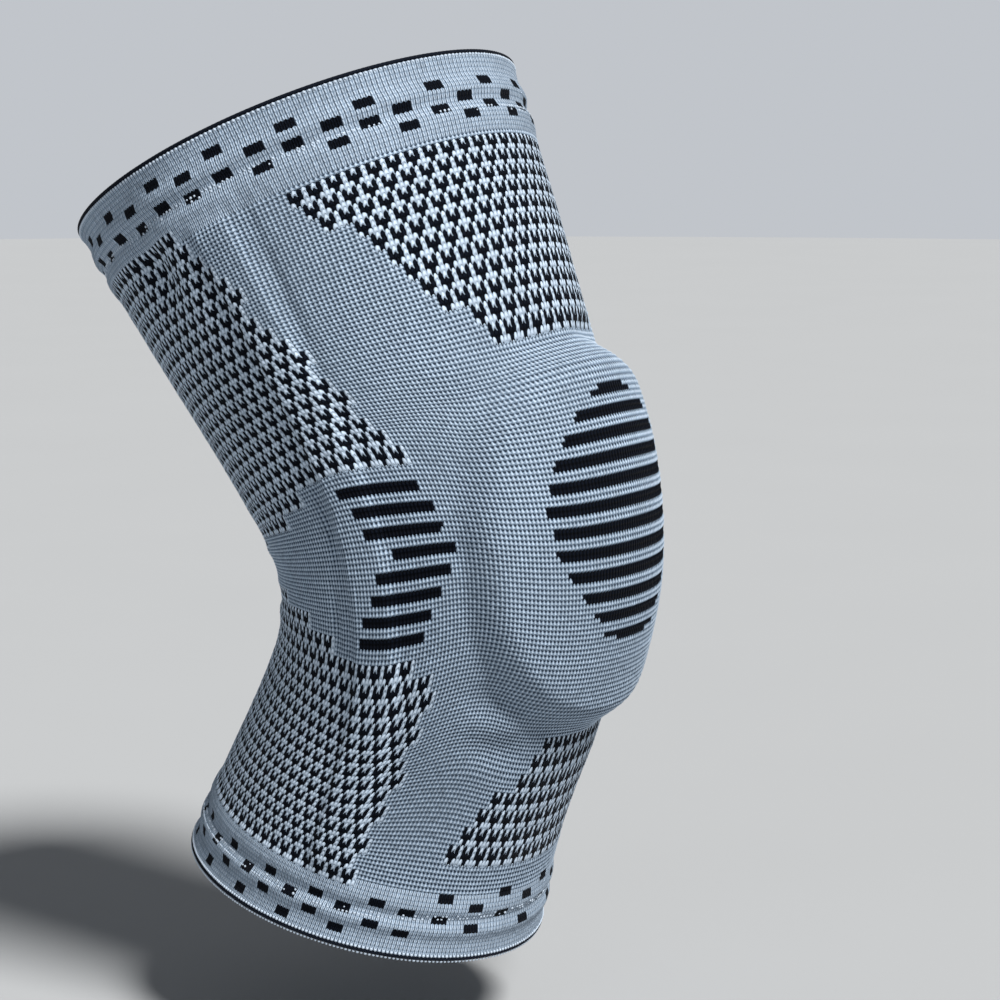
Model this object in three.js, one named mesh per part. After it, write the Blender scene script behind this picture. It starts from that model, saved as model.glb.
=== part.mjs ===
// A knitted knee sleeve shaped on a bent leg: an elastic tube with a patterned grip band and a dark
// rolled edge at each mouth, a soft gel ring seated behind the knit round the kneecap, and a flat
// springy stay in a channel up each side. Millimetres, +Z up, the kneecap towards -Y and the origin
// in the middle of the knee hollow.
import * as THREE from "three";

const DEGREE = Math.PI / 180;

// The leg that the sleeve is shaped on
const THIGH_REACH = 157; // from the knee's corner to the upper mouth, along the thigh
const CALF_REACH = 119; // from the knee's corner to the lower mouth, along the calf
const THIGH_LEAN = 26.6 * DEGREE; // the thigh leans back as it rises
const CALF_LEAN = 22 * DEGREE; // the calf leans back as it falls
const KNEE_CURVE = 105; // radius of the centre line round the knee
const THIGH_SIZE = 158; // across the upper mouth
const KNEE_SIZE = 130; // across the knee
const CALF_SIZE = 121; // across the lower mouth
const THIGH_MOUTH_TILT = 1.2 * DEGREE; // the upper mouth dips to the front
const CALF_MOUTH_TILT = 7 * DEGREE; // the lower mouth dips to the back

// The knit
const WALL = 2.2; // thickness of the knitted wall
const THIGH_BAND = 28; // depth of the upper grip band
const CALF_BAND = 25; // depth of the lower grip band
const ROLL = 2.4; // depth of the dark edge at each mouth
const ROLL_PROUD = 0.35; // how far the edge stands out of the wall on each side
const JOIN_GAP = 0.3; // between two pieces that meet

// The gel ring behind the kneecap's knit
const RING_HEIGHT = 124; // over the front of the knee
const RING_WIDTH = 110; // round the front of the knee
const RING_HOLE_HEIGHT = 66;
const RING_HOLE_WIDTH = 44;
const RING_THICKNESS = 7.5;
const RING_RISE = 13; // its middle above the middle of the knee
const RING_CLEARANCE = 0.75; // between the ring and the knit over it
const RING_DRAPE = 9; // how far past the ring's edge the knit comes down
const RING_SHOULDER = 6; // how far inside the edge it starts to
const RING_ROUNDNESS = 2.2; // power of the ring's oval: 2 is an ellipse
const HOLE_POINT = 0.5; // how sharp the hole's upper end is: 0 is round

// The flat stay up each side
const STAY_WIDTH = 9;
const STAY_THICKNESS = 1.6;
const STAY_CLEARANCE = 0.45; // between the stay and the knit over it
const STAY_END_GAP = 4; // from each end of the stay to the band
const CHANNEL_SLOPE = 4.5; // width of the channel's sloping side
const CHANNEL_FADE = 9; // length over which the channel runs out past the stay

// Outline of the leg under the knit, without the ring and the stays. Each section lies at a share of
// the rise above the knee's middle or, where negative, of the drop below it. Its half widths are shares
// of half the named size: across the leg, to the front and to the back.
const SECTIONS = [
  { along: -1.0, size: CALF_SIZE, side: 1.0, front: 1.02, back: 1.05 },
  { along: -0.75, size: CALF_SIZE, side: 0.96, front: 0.94, back: 1.0 },
  { along: -0.45, size: CALF_SIZE, side: 0.93, front: 0.92, back: 0.94 },
  { along: -0.25, size: CALF_SIZE, side: 0.95, front: 0.94, back: 0.93 },
  { along: 0.0, size: KNEE_SIZE, side: 0.93, front: 0.965, back: 0.86 },
  { along: 0.18, size: KNEE_SIZE, side: 0.96, front: 1.02, back: 0.92 },
  { along: 0.35, size: KNEE_SIZE, side: 1.0, front: 1.03, back: 0.97 },
  { along: 0.65, size: THIGH_SIZE, side: 0.91, front: 0.91, back: 0.9 },
  { along: 1.0, size: THIGH_SIZE, side: 1.0, front: 0.975, back: 1.025 },
];

// Line of each stay: the turn away from the front is a share of a half circle.
const STAY_LINE = [
  { along: -1.0, turn: 0.42 },
  { along: -0.5, turn: 0.44 },
  { along: 0.0, turn: 0.462 },
  { along: 0.5, turn: 0.47 },
  { along: 1.0, turn: 0.485 },
];

// Ripples across a grip band, from its free edge to the tube. The rise is a share of the wall.
const BAND_RIPPLES = [
  { across: 0.0, rise: 0 },
  { across: 0.24, rise: -0.08 },
  { across: 0.42, rise: 0.3 },
  { across: 0.56, rise: -0.05 },
  { across: 0.72, rise: 0.26 },
  { across: 1.0, rise: 0 },
];

// Dents, folds and soft lumps on each side of the sleeve. Places are given as above, length along the
// leg and width round it as shares of the knee's size, and the rise as a share of the wall.
const MARKS = [
  { along: 0.77, turn: 0.6, length: 0.11, width: 0.055, rise: -1.2 }, // dent behind the stay's top
  { along: 0.7, turn: 0.55, length: 0.12, width: 0.035, rise: 0.4 }, // lump beside that dent
  { along: 0.36, turn: 0.24, length: 0.06, width: 0.07, rise: 0.55 }, // soft lumps above the knee
  { along: 0.25, turn: 0.28, length: 0.05, width: 0.06, rise: 0.4 },
  { along: 0.37, turn: 0.09, length: 0.035, width: 0.1, rise: -0.9 }, // crease over the ring
  { along: 0.08, turn: 0.3, length: 0.035, width: 0.045, rise: -0.5 }, // dent beside the ring
  { along: -0.21, turn: 0.22, length: 0.03, width: 0.09, rise: -0.7 }, // folds under the ring
  { along: -0.27, turn: 0.21, length: 0.03, width: 0.09, rise: 0.5 },
  { along: -0.33, turn: 0.2, length: 0.03, width: 0.1, rise: -0.5 },
  { along: -0.25, turn: 0.08, length: 0.04, width: 0.09, rise: -0.6 }, // dimple under the ring
  { along: 0.13, turn: 0.85, length: 0.035, width: 0.13, rise: 0.45 }, // folds behind the knee
  { along: 0.0, turn: 0.87, length: 0.035, width: 0.15, rise: 0.5 },
  { along: -0.14, turn: 0.85, length: 0.035, width: 0.13, rise: 0.45 },
];

// Section of the gel ring, from its hole round over its outer face, as shares of its width there and
// of its thickness.
const RING_SECTION = [
  { across: 0.0, lift: 0.0 },
  { across: 0.0, lift: 0.85 },
  { across: 0.07, lift: 1.0 },
  { across: 0.36, lift: 1.0 },
  { across: 0.64, lift: 1.0 },
  { across: 0.86, lift: 0.9 },
  { across: 0.96, lift: 0.62 },
  { across: 1.0, lift: 0.0 },
  { across: 0.66, lift: 0.0 },
  { across: 0.33, lift: 0.0 },
];

// Fineness of the surfaces
const FRONT_COLUMNS = 16; // from the front to a stay's channel
const BACK_COLUMNS = 6; // from the channel to the back
const KNEE_ROWS = 25; // along the curved stretch
const THIGH_ROWS = 6; // from the curved stretch to the band
const CALF_ROWS = 3;
const RING_STEPS = 40;
const STAY_STEPS = 24;

// Half of the knee's bend, its curved stretch and the lengths from the middle to each mouth
const HALF_BEND = (THIGH_LEAN + CALF_LEAN) / 2;
const MIDDLE_LEAN = (THIGH_LEAN - CALF_LEAN) / 2;
const HALF_ARC = KNEE_CURVE * HALF_BEND;
const RISE = THIGH_REACH - KNEE_CURVE * Math.tan(HALF_BEND) + HALF_ARC;
const DROP = CALF_REACH - KNEE_CURVE * Math.tan(HALF_BEND) + HALF_ARC;
const SEAT = KNEE_SIZE / 2;

const clamp = THREE.MathUtils.clamp;

// Goes smoothly from 0 at `from` to 1 at `to`, whichever is larger.
function ease(from, to, value) {
  const t = clamp((value - from) / (to - from), 0, 1);
  return t * t * (3 - 2 * t);
}

// Distance along the centre line of a share of the rise or of the drop.
function distanceOf(along) {
  return along * (along > 0 ? RISE : DROP);
}

// Smooth curve through the given heights, with the slope at each taken from its neighbours.
function curveThrough(places, heights) {
  const slopes = heights.map((height, i) => {
    const before = i > 0 ? (height - heights[i - 1]) / (places[i] - places[i - 1]) : null;
    const after =
      i < places.length - 1 ? (heights[i + 1] - height) / (places[i + 1] - places[i]) : null;
    if (before === null) return after;
    return after === null ? before : (before + after) / 2;
  });
  return (place) => {
    let i = 0;
    while (i < places.length - 2 && place > places[i + 1]) i += 1;
    const span = places[i + 1] - places[i];
    const t = (place - places[i]) / span;
    const stay = heights[i] * (2 * t ** 3 - 3 * t ** 2 + 1);
    const reach = heights[i + 1] * (3 * t ** 2 - 2 * t ** 3);
    const leave = slopes[i] * span * (t ** 3 - 2 * t ** 2 + t);
    const arrive = slopes[i + 1] * span * (t ** 3 - t ** 2);
    return stay + reach + leave + arrive;
  };
}

function column(rows, name, scale) {
  return curveThrough(
    rows.map((row) => distanceOf(row.along)),
    rows.map((row) => row[name] * scale(row)),
  );
}

const halfSize = (row) => row.size / 2;
const halfSide = column(SECTIONS, "side", halfSize);
const halfFront = column(SECTIONS, "front", halfSize);
const halfBack = column(SECTIONS, "back", halfSize);
const stayTurn = column(STAY_LINE, "turn", () => Math.PI);

// Centre line of the leg: straight along the calf and the thigh, an arc round the knee.
function spine(distance) {
  const onArc = clamp(distance, -HALF_ARC, HALF_ARC);
  const lean = MIDDLE_LEAN + onArc / KNEE_CURVE;
  const past = distance - onArc;
  return {
    lean,
    y: KNEE_CURVE * (Math.cos(MIDDLE_LEAN) - Math.cos(lean)) + past * Math.sin(lean),
    z: KNEE_CURVE * (Math.sin(lean) - Math.sin(MIDDLE_LEAN)) + past * Math.cos(lean),
  };
}

// Distance over the surface from the middle of the knee, and back again.
const stretchAt = (turn) => 1 + (SEAT * Math.cos(turn)) / KNEE_CURVE;

function overSurface(distance, turn) {
  const onArc = clamp(distance, -HALF_ARC, HALF_ARC);
  return onArc * stretchAt(turn) + distance - onArc;
}

function fromSurface(over, turn) {
  const onArc = clamp(over / stretchAt(turn), -HALF_ARC, HALF_ARC);
  return onArc + over - onArc * stretchAt(turn);
}

// Radius of the bare outline.
function outline(distance, turn) {
  const forward = Math.cos(turn) > 0 ? halfFront(distance) : halfBack(distance);
  return 1 / Math.hypot(Math.sin(turn) / halfSide(distance), Math.cos(turn) / forward);
}

// How far out the knit is pushed by the ring: the full height over it, down to nothing beside it.
function ringLift(distance, turn) {
  const round = (turn * SEAT) / (RING_WIDTH / 2);
  const up = (overSurface(distance, turn) - RING_RISE) / (RING_HEIGHT / 2);
  const sum = Math.abs(round) ** RING_ROUNDNESS + Math.abs(up) ** RING_ROUNDNESS;
  const meanRadius = (RING_WIDTH + RING_HEIGHT) / 4;
  const past = (sum ** (1 / RING_ROUNDNESS) - 1) * meanRadius;
  return (RING_THICKNESS + RING_CLEARANCE) * ease(RING_DRAPE, -RING_SHOULDER, past);
}

// Ends of the stays along the centre line, and half the angle that a stay takes up.
const STAY_TOP = RISE - THIGH_BAND - STAY_END_GAP;
const STAY_FOOT = CALF_BAND + STAY_END_GAP - DROP;
const flatHalf = (distance) =>
  (STAY_WIDTH / 2 + STAY_CLEARANCE) / outline(distance, stayTurn(distance));
const channelHalf = (distance) =>
  flatHalf(distance) + CHANNEL_SLOPE / outline(distance, stayTurn(distance));

function stayLift(distance, turn) {
  const away = Math.abs(turn - stayTurn(distance));
  const flat = flatHalf(distance);
  const side = clamp((channelHalf(distance) - away) / (channelHalf(distance) - flat), 0, 1);
  const ends =
    ease(STAY_TOP + CHANNEL_FADE, STAY_TOP, distance) *
    ease(STAY_FOOT - CHANNEL_FADE, STAY_FOOT, distance);
  return (STAY_THICKNESS + STAY_CLEARANCE) * side * ends;
}

function markLift(distance, turn) {
  return MARKS.reduce((sum, mark) => {
    const up = (distance - distanceOf(mark.along)) / (mark.length * KNEE_SIZE);
    const round = ((turn - mark.turn * Math.PI) * SEAT) / (mark.width * KNEE_SIZE);
    return sum + mark.rise * WALL * Math.exp(-(up ** 2) - round ** 2);
  }, 0);
}

// Marks are kept off the stay and the ring, which the knit follows closely.
function lift(distance, turn) {
  const side = Math.abs(turn);
  const away = Math.abs(side - stayTurn(distance));
  const offStay = clamp((away - flatHalf(distance)) / flatHalf(distance), 0, 1);
  const overRing = ringLift(distance, turn);
  const offRing = 1 - overRing / (RING_THICKNESS + RING_CLEARANCE);
  const mark = markLift(distance, side) * Math.min(offStay, offRing);
  return Math.max(overRing, stayLift(distance, side)) + mark;
}

// Tangent of the mouths' tilt, shared out along the leg so that the rows turn with them.
function rowSlope(distance) {
  return distance > 0
    ? (Math.tan(THIGH_MOUTH_TILT) * distance) / RISE
    : (Math.tan(CALF_MOUTH_TILT) * distance) / DROP;
}

// Point at a radius, a turn from the front (to +X) and a distance along the centre line.
function place(distance, turn, radius) {
  const forward = radius * Math.cos(turn);
  const spot = spine(distance - rowSlope(distance) * forward);
  return [
    radius * Math.sin(turn),
    spot.y - forward * Math.cos(spot.lean),
    spot.z + forward * Math.sin(spot.lean),
  ];
}

// Turns of the columns at a distance. They follow the stays' channels.
function columnTurns(distance) {
  const stay = stayTurn(distance);
  const flat = flatHalf(distance);
  const slope = channelHalf(distance);
  const half = [];
  for (let i = 0; i < FRONT_COLUMNS; i += 1) half.push(((stay - slope) * i) / FRONT_COLUMNS);
  half.push(stay - slope, stay - flat, stay + flat);
  for (let i = 0; i <= BACK_COLUMNS; i += 1) {
    half.push(stay + slope + ((Math.PI - stay - slope) * i) / BACK_COLUMNS);
  }
  const back = half.slice(1, -1).reverse();
  return half.concat(back.map((turn) => -turn));
}

function evenly(from, to, steps) {
  return Array.from({ length: steps + 1 }, (_, i) => from + ((to - from) * i) / steps);
}

function solidFrom(points, triangles) {
  const geometry = new THREE.BufferGeometry();
  geometry.setAttribute("position", new THREE.Float32BufferAttribute(points.flat(), 3));
  geometry.setIndex(triangles);
  geometry.computeVertexNormals();
  return geometry;
}

// Faces between closed loops of points, each loop joined to the next and the last to the first.
function loopsToFaces(loops, size) {
  const triangles = [];
  for (let i = 0; i < loops; i += 1) {
    const next = (i + 1) % loops;
    for (let j = 0; j < size; j += 1) {
      const beside = (j + 1) % size;
      const corners = [i * size + j, i * size + beside, next * size + beside, next * size + j];
      triangles.push(corners[0], corners[1], corners[2], corners[0], corners[2], corners[3]);
    }
  }
  return triangles;
}

// Wall round the leg through rows of { at, outer, inner }: its distance along the centre line and how
// far its two faces lie from the knit's outer face.
function wallRound(rows) {
  const up = rows.map((row) => ({ at: row.at, off: row.outer }));
  const down = rows.map((row) => ({ at: row.at, off: row.inner })).reverse();
  const loops = up.concat(down).map(({ at, off }) =>
    columnTurns(at).map((turn) => place(at, turn, outline(at, turn) + lift(at, turn) + off)),
  );
  return solidFrom(loops.flat(), loopsToFaces(loops.length, loops[0].length));
}

function tube() {
  const foot = CALF_BAND - DROP + JOIN_GAP / 2;
  const head = RISE - THIGH_BAND - JOIN_GAP / 2;
  const stations = [
    foot,
    ...evenly(STAY_FOOT, -HALF_ARC, CALF_ROWS).slice(0, -1),
    ...evenly(-HALF_ARC, HALF_ARC, KNEE_ROWS),
    ...evenly(HALF_ARC, STAY_TOP, THIGH_ROWS).slice(1),
    head,
  ];
  return wallRound(stations.map((at) => ({ at, outer: 0, inner: -WALL })));
}

// Grip band between a mouth's edge roll and the tube.
function band(mouth, depth, inwards) {
  const edge = mouth + inwards * (ROLL + JOIN_GAP / 2);
  const width = depth - ROLL - JOIN_GAP;
  const rows = BAND_RIPPLES.map(({ across, rise }) => ({
    at: edge + inwards * width * across,
    outer: rise * WALL,
    inner: rise * WALL - WALL,
  }));
  return wallRound(inwards > 0 ? rows : rows.reverse());
}

function edgeRoll(mouth, inwards) {
  const rows = [0, 0.5, 1].map((share) => ({
    at: mouth + inwards * (ROLL - JOIN_GAP / 2) * share,
    outer: share === 0.5 ? ROLL_PROUD : 0,
    inner: -WALL - (share === 0.5 ? ROLL_PROUD : 0),
  }));
  return wallRound(inwards > 0 ? rows : rows.reverse());
}

// Outlines of the ring laid flat, at an angle from its top: its oval, and its hole, which is round
// below and comes to a point above.
function ringOval(angle) {
  const bend = (value) => Math.sign(value) * Math.abs(value) ** (2 / RING_ROUNDNESS);
  return [(bend(Math.sin(angle)) * RING_WIDTH) / 2, (bend(Math.cos(angle)) * RING_HEIGHT) / 2];
}

function ringHole(angle) {
  const point = (HOLE_POINT * (1 + Math.cos(angle))) / 2;
  const side = Math.sign(Math.sin(angle)) * Math.abs(Math.sin(angle)) ** (1 + point);
  return [(side * RING_HOLE_WIDTH) / 2, (Math.cos(angle) * RING_HOLE_HEIGHT) / 2];
}

function gelRing() {
  const loops = evenly(0, -2 * Math.PI, RING_STEPS)
    .slice(0, -1)
    .map((angle) => {
      const hole = ringHole(angle);
      const oval = ringOval(angle);
      return RING_SECTION.map(({ across, lift: share }) => {
        const turn = (hole[0] + (oval[0] - hole[0]) * across) / SEAT;
        const over = hole[1] + (oval[1] - hole[1]) * across + RING_RISE;
        const at = fromSurface(over, turn);
        return place(at, turn, outline(at, turn) - WALL + share * RING_THICKNESS);
      });
    });
  return solidFrom(loops.flat(), loopsToFaces(loops.length, loops[0].length));
}

// Flat stay up one side, lying against the leg in the knit's channel: +1 is the side at +X.
function stay(side) {
  const points = evenly(STAY_FOOT, STAY_TOP, STAY_STEPS).map((at) => {
    const middle = stayTurn(at);
    const half = STAY_WIDTH / 2 / outline(at, middle);
    const corners = [
      [middle - half, STAY_THICKNESS],
      [middle + half, STAY_THICKNESS],
      [middle + half, 0],
      [middle - half, 0],
    ];
    const ordered = side > 0 ? corners : corners.reverse();
    return ordered.map(([turn, height]) => place(at, side * turn, outline(at, turn) - WALL + height));
  });
  const size = points[0].length;
  const faces = loopsToFaces(points.length, size).slice(0, (points.length - 1) * size * 6);
  const last = (points.length - 1) * size;
  const caps = [0, 2, 1, 0, 3, 2, last, last + 1, last + 2, last, last + 2, last + 3];
  return solidFrom(points.flat(), faces.concat(caps));
}

// Finishes
const greyKnit = { color: 0x93a3b8, roughness: 0.9, metalness: 0 };
const darkKnit = { color: 0x141b26, roughness: 0.9, metalness: 0 };
const gel = { color: 0xdfeaf2, roughness: 0.35, metalness: 0 };
const springStrip = { color: 0xe4e6e8, roughness: 0.5, metalness: 0 };

const sleeve = new THREE.Group();

function addPiece(name, geometry, finish) {
  const mesh = new THREE.Mesh(geometry, new THREE.MeshStandardMaterial(finish));
  mesh.name = name;
  sleeve.add(mesh);
}

addPiece("knit_tube", tube(), greyKnit);
addPiece("thigh_grip_band", band(RISE, THIGH_BAND, -1), greyKnit);
addPiece("calf_grip_band", band(-DROP, CALF_BAND, 1), greyKnit);
addPiece("thigh_edge_roll", edgeRoll(RISE, -1), darkKnit);
addPiece("calf_edge_roll", edgeRoll(-DROP, 1), darkKnit);
addPiece("gel_ring", gelRing(), gel);
addPiece("stay_left", stay(-1), springStrip);
addPiece("stay_right", stay(1), springStrip);

export default sleeve;
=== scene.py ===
"""A knitted knee sleeve shaped on a bent leg: an elastic tube knitted stitch by stitch with charted
patterns, a grip band and a dark edge at each mouth, a dotted gel ring behind the kneecap's knit and a
springy stay up each side. Metres, +Z up, the kneecap towards -Y, the origin in the knee hollow."""
import math

import bpy
import numpy as np
from bpy.props import FloatProperty, FloatVectorProperty, IntProperty, PointerProperty
from bpy.types import Operator, Panel, PropertyGroup
from mathutils import Matrix, Vector


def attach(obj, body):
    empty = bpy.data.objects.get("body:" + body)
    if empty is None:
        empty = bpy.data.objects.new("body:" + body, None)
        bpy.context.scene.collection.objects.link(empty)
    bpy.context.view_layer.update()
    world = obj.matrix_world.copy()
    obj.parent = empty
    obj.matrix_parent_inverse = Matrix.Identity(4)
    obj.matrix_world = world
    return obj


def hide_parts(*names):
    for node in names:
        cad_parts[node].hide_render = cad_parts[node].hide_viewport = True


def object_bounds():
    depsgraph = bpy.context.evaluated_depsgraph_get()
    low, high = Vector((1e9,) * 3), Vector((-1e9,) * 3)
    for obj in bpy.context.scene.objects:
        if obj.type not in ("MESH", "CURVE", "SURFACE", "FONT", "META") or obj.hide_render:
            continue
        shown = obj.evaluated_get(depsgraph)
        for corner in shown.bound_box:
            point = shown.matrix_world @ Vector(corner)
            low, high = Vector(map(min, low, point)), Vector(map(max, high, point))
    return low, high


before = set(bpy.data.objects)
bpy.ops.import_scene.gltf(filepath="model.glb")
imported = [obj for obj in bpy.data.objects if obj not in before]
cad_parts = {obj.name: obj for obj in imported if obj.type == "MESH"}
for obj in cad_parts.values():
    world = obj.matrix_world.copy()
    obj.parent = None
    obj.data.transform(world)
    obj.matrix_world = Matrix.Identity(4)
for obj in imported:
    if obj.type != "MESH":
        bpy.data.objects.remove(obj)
CAD_BOX = [list(corner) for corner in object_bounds()]

bl_info = {
    "name": "Knee Sleeve",
    "version": (1, 0, 0),
    "blender": (4, 5, 0),
    "location": "3D View > Sidebar > Knee Sleeve",
    "description": "Knits a knee sleeve stitch by stitch round a packed part",
    "category": "Object",
}

BODY = "root"
MM = 0.001

# Outline of the leg under the knit. Each section lies at a share of the rise above the knee's middle
# or, where negative, of the drop below it. Half widths are shares of half the named size.
SECTIONS = [
    {"along": -1.0, "size": "calf", "side": 1.0, "front": 1.02, "back": 1.05},
    {"along": -0.75, "size": "calf", "side": 0.96, "front": 0.94, "back": 1.0},
    {"along": -0.45, "size": "calf", "side": 0.93, "front": 0.92, "back": 0.94},
    {"along": -0.25, "size": "calf", "side": 0.95, "front": 0.94, "back": 0.93},
    {"along": 0.0, "size": "knee", "side": 0.93, "front": 0.965, "back": 0.86},
    {"along": 0.18, "size": "knee", "side": 0.96, "front": 1.02, "back": 0.92},
    {"along": 0.35, "size": "knee", "side": 1.0, "front": 1.03, "back": 0.97},
    {"along": 0.65, "size": "thigh", "side": 0.91, "front": 0.91, "back": 0.9},
    {"along": 1.0, "size": "thigh", "side": 1.0, "front": 0.975, "back": 1.025},
]

# Line of each stay: the turn away from the front is a share of a half circle.
STAY_LINE = [
    {"along": -1.0, "turn": 0.42},
    {"along": -0.5, "turn": 0.44},
    {"along": 0.0, "turn": 0.462},
    {"along": 0.5, "turn": 0.47},
    {"along": 1.0, "turn": 0.485},
]

# Ripples across a grip band, from its free edge to the tube. The rise is a share of the wall.
BAND_RIPPLES = [
    {"across": 0.0, "rise": 0.0},
    {"across": 0.24, "rise": -0.12},
    {"across": 0.42, "rise": 0.4},
    {"across": 0.58, "rise": -0.14},
    {"across": 0.74, "rise": 0.36},
    {"across": 1.0, "rise": 0.0},
]

# Dents, folds and soft lumps on each side: length along the leg and width round it as shares of the
# knee's size, and the rise as a share of the wall.
MARKS = [
    {"along": 0.8, "turn": 0.605, "length": 0.09, "width": 0.05, "rise": -1.9},
    {"along": 0.66, "turn": 0.42, "length": 0.24, "width": 0.016, "rise": -0.4},
    {"along": 0.7, "turn": 0.55, "length": 0.12, "width": 0.035, "rise": 0.4},
    {"along": 0.17, "turn": 0.52, "length": 0.09, "width": 0.014, "rise": -0.55},
    {"along": -0.08, "turn": 0.536, "length": 0.1, "width": 0.014, "rise": -0.55},
    {"along": 0.36, "turn": 0.24, "length": 0.06, "width": 0.07, "rise": 0.55},
    {"along": 0.25, "turn": 0.28, "length": 0.05, "width": 0.06, "rise": 0.4},
    {"along": 0.37, "turn": 0.09, "length": 0.035, "width": 0.1, "rise": -0.9},
    {"along": 0.08, "turn": 0.3, "length": 0.035, "width": 0.045, "rise": -0.5},
    {"along": -0.21, "turn": 0.22, "length": 0.03, "width": 0.09, "rise": -0.7},
    {"along": -0.27, "turn": 0.21, "length": 0.03, "width": 0.09, "rise": 0.5},
    {"along": -0.33, "turn": 0.2, "length": 0.03, "width": 0.1, "rise": -0.5},
    {"along": -0.25, "turn": 0.08, "length": 0.04, "width": 0.09, "rise": -0.6},
    {"along": 0.13, "turn": 0.85, "length": 0.035, "width": 0.13, "rise": 0.45},
    {"along": 0.0, "turn": 0.87, "length": 0.035, "width": 0.15, "rise": 0.5},
    {"along": -0.14, "turn": 0.85, "length": 0.035, "width": 0.13, "rise": 0.45},
]

# Section of the gel ring, from its hole round over its outer face, as shares of its width there and
# of its thickness.
RING_SECTION = [
    {"across": 0.0, "lift": 0.0},
    {"across": 0.0, "lift": 0.45},
    {"across": 0.0, "lift": 0.85},
    {"across": 0.02, "lift": 0.96},
    {"across": 0.07, "lift": 1.0},
    {"across": 0.2, "lift": 1.0},
    {"across": 0.36, "lift": 1.0},
    {"across": 0.5, "lift": 1.0},
    {"across": 0.64, "lift": 1.0},
    {"across": 0.76, "lift": 0.97},
    {"across": 0.86, "lift": 0.9},
    {"across": 0.93, "lift": 0.77},
    {"across": 0.96, "lift": 0.62},
    {"across": 0.99, "lift": 0.3},
    {"across": 1.0, "lift": 0.0},
    {"across": 0.66, "lift": 0.0},
    {"across": 0.33, "lift": 0.0},
]

# Where each course lies on the front of the leg and on its sides, as shares of the rise or of the drop.
# The front has its courses close together on the centre line, because the knee stretches them.
THIGH_COURSES = [
    {"course": 0, "front": 0.0, "side": 0.0},
    {"course": 27, "front": 0.195, "side": 0.286},
    {"course": 40, "front": 0.289, "side": 0.391},
    {"course": 57, "front": 0.476, "side": 0.522},
    {"course": 74, "front": 0.65, "side": 0.66},
    {"course": 93, "front": 0.8184, "side": 0.8184},
    {"course": 111, "front": 1.0, "side": 1.0},
]
CALF_COURSES = [
    {"course": 0, "front": 0.0, "side": 0.0},
    {"course": 26, "front": 0.25, "side": 0.367},
    {"course": 40, "front": 0.386, "side": 0.52},
    {"course": 53, "front": 0.583, "side": 0.655},
    {"course": 66, "front": 0.7847, "side": 0.7847},
    {"course": 82, "front": 1.0, "side": 1.0},
]

# The check: a motif of three rows of long stitches, which take up four courses. It is repeated, each
# row of motifs half a motif further round.
CHECK_MOTIF = [
    "X.X.",
    "XXX.",
    ".X..",
]
CHECK_WALES = 4
CHECK_COURSES = 4
CHECK_ROWS = len(CHECK_MOTIF)

# Edges of the checked panels, in degrees from the front and shares of the rise or of the drop
THIGH_FRONT_CHECK = {"along": [0.398, 0.827], "edge": [28.5, 67], "foot": 0.38, "head": 0.81}
THIGH_BACK_CHECK = {"along": [0.237, 0.862], "edge": [64, 97], "head": 0.862}
THIGH_BACK_FOOT = {
    "turn": [64, 78, 84, 91, 101, 117, 135, 180],
    "along": [0.237, 0.26, 0.265, 0.252, 0.237, 0.177, 0.15, 0.15],
}
CALF_BACK_HEAD = {"turn": [61, 82, 98, 125, 180], "along": [-0.161, -0.178, -0.141, -0.021, -0.01]}
CALF_BACK_CHECK = {"along": [-0.76, -0.474, -0.244, -0.161], "edge": [68, 65, 63.6, 61.5], "foot": -0.8}
CALF_FRONT_CHECK = {
    "along": [-0.714, -0.421, -0.284],
    "edge": [43, 28, 17],
    "foot": -0.715,
    "head": -0.29,
}

# Stripes of two dark courses, every fourth course down from the named one, and how far each reaches,
# in degrees from the front
SIDE_STRIPES_FROM = 21
SIDE_STRIPES = [
    {"front": 62, "back": 86},
    {"front": 60, "back": 83},
    {"front": 58.5, "back": 81},
    {"front": 56, "back": 75},
    {"front": 58, "back": 80},
    {"front": 61, "back": 82},
    {"front": 64, "back": 85},
    {"front": 67, "back": 87},
]
CAP_STRIPES_FROM = 36
CAP_STRIPES = [
    {"upper": 6.5, "lower": 10},
    {"upper": 16.5, "lower": 18},
    {"upper": 22, "lower": 23.5},
    {"upper": 27, "lower": 28},
    {"upper": 29, "lower": 29.5},
    {"upper": 31, "lower": 31},
    {"upper": 30.6, "lower": 30.6},
    {"upper": 29.5, "lower": 28.5},
    {"upper": 26.5, "lower": 25.5},
    {"upper": 22.5, "lower": 21.5},
    {"upper": 17.5, "lower": 16},
    {"upper": 13, "lower": 8},
]
STRIPE_STEP = 4

# Dashes of the grip bands, in columns round each band that take turns to lie nearer to the mouth and
# further from it. Depths from the mouth are in millimetres, and towards the front they grow by the dip.
# The columns bunch up at the sides by some degrees.
DASH_WALES = 4
DASHES = {
    "thigh": {"columns": 38, "bunching": 0.0, "near": [8.3, 15.1], "far": [11.8, 18.2], "dip": 3.4},
    "calf": {"columns": 34, "bunching": 4.5, "near": [5.3, 13.4], "far": [9.1, 16.7], "dip": 7.5},
}
DASH_START = -1.5
DIP_FROM = 76
DIP_TO = 22


def a_length(name, description, default):
    """Property for a length in metres."""
    return FloatProperty(name=name, description=description, default=default, unit="LENGTH")


def an_angle(name, description, degrees):
    """Property for an angle, given in degrees."""
    return FloatProperty(name=name, description=description, default=math.radians(degrees), subtype="ANGLE")


def a_colour(name, description, default):
    """Property for a colour."""
    return FloatVectorProperty(
        name=name, description=description, default=default, subtype="COLOR", min=0.0, max=1.0
    )


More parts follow.
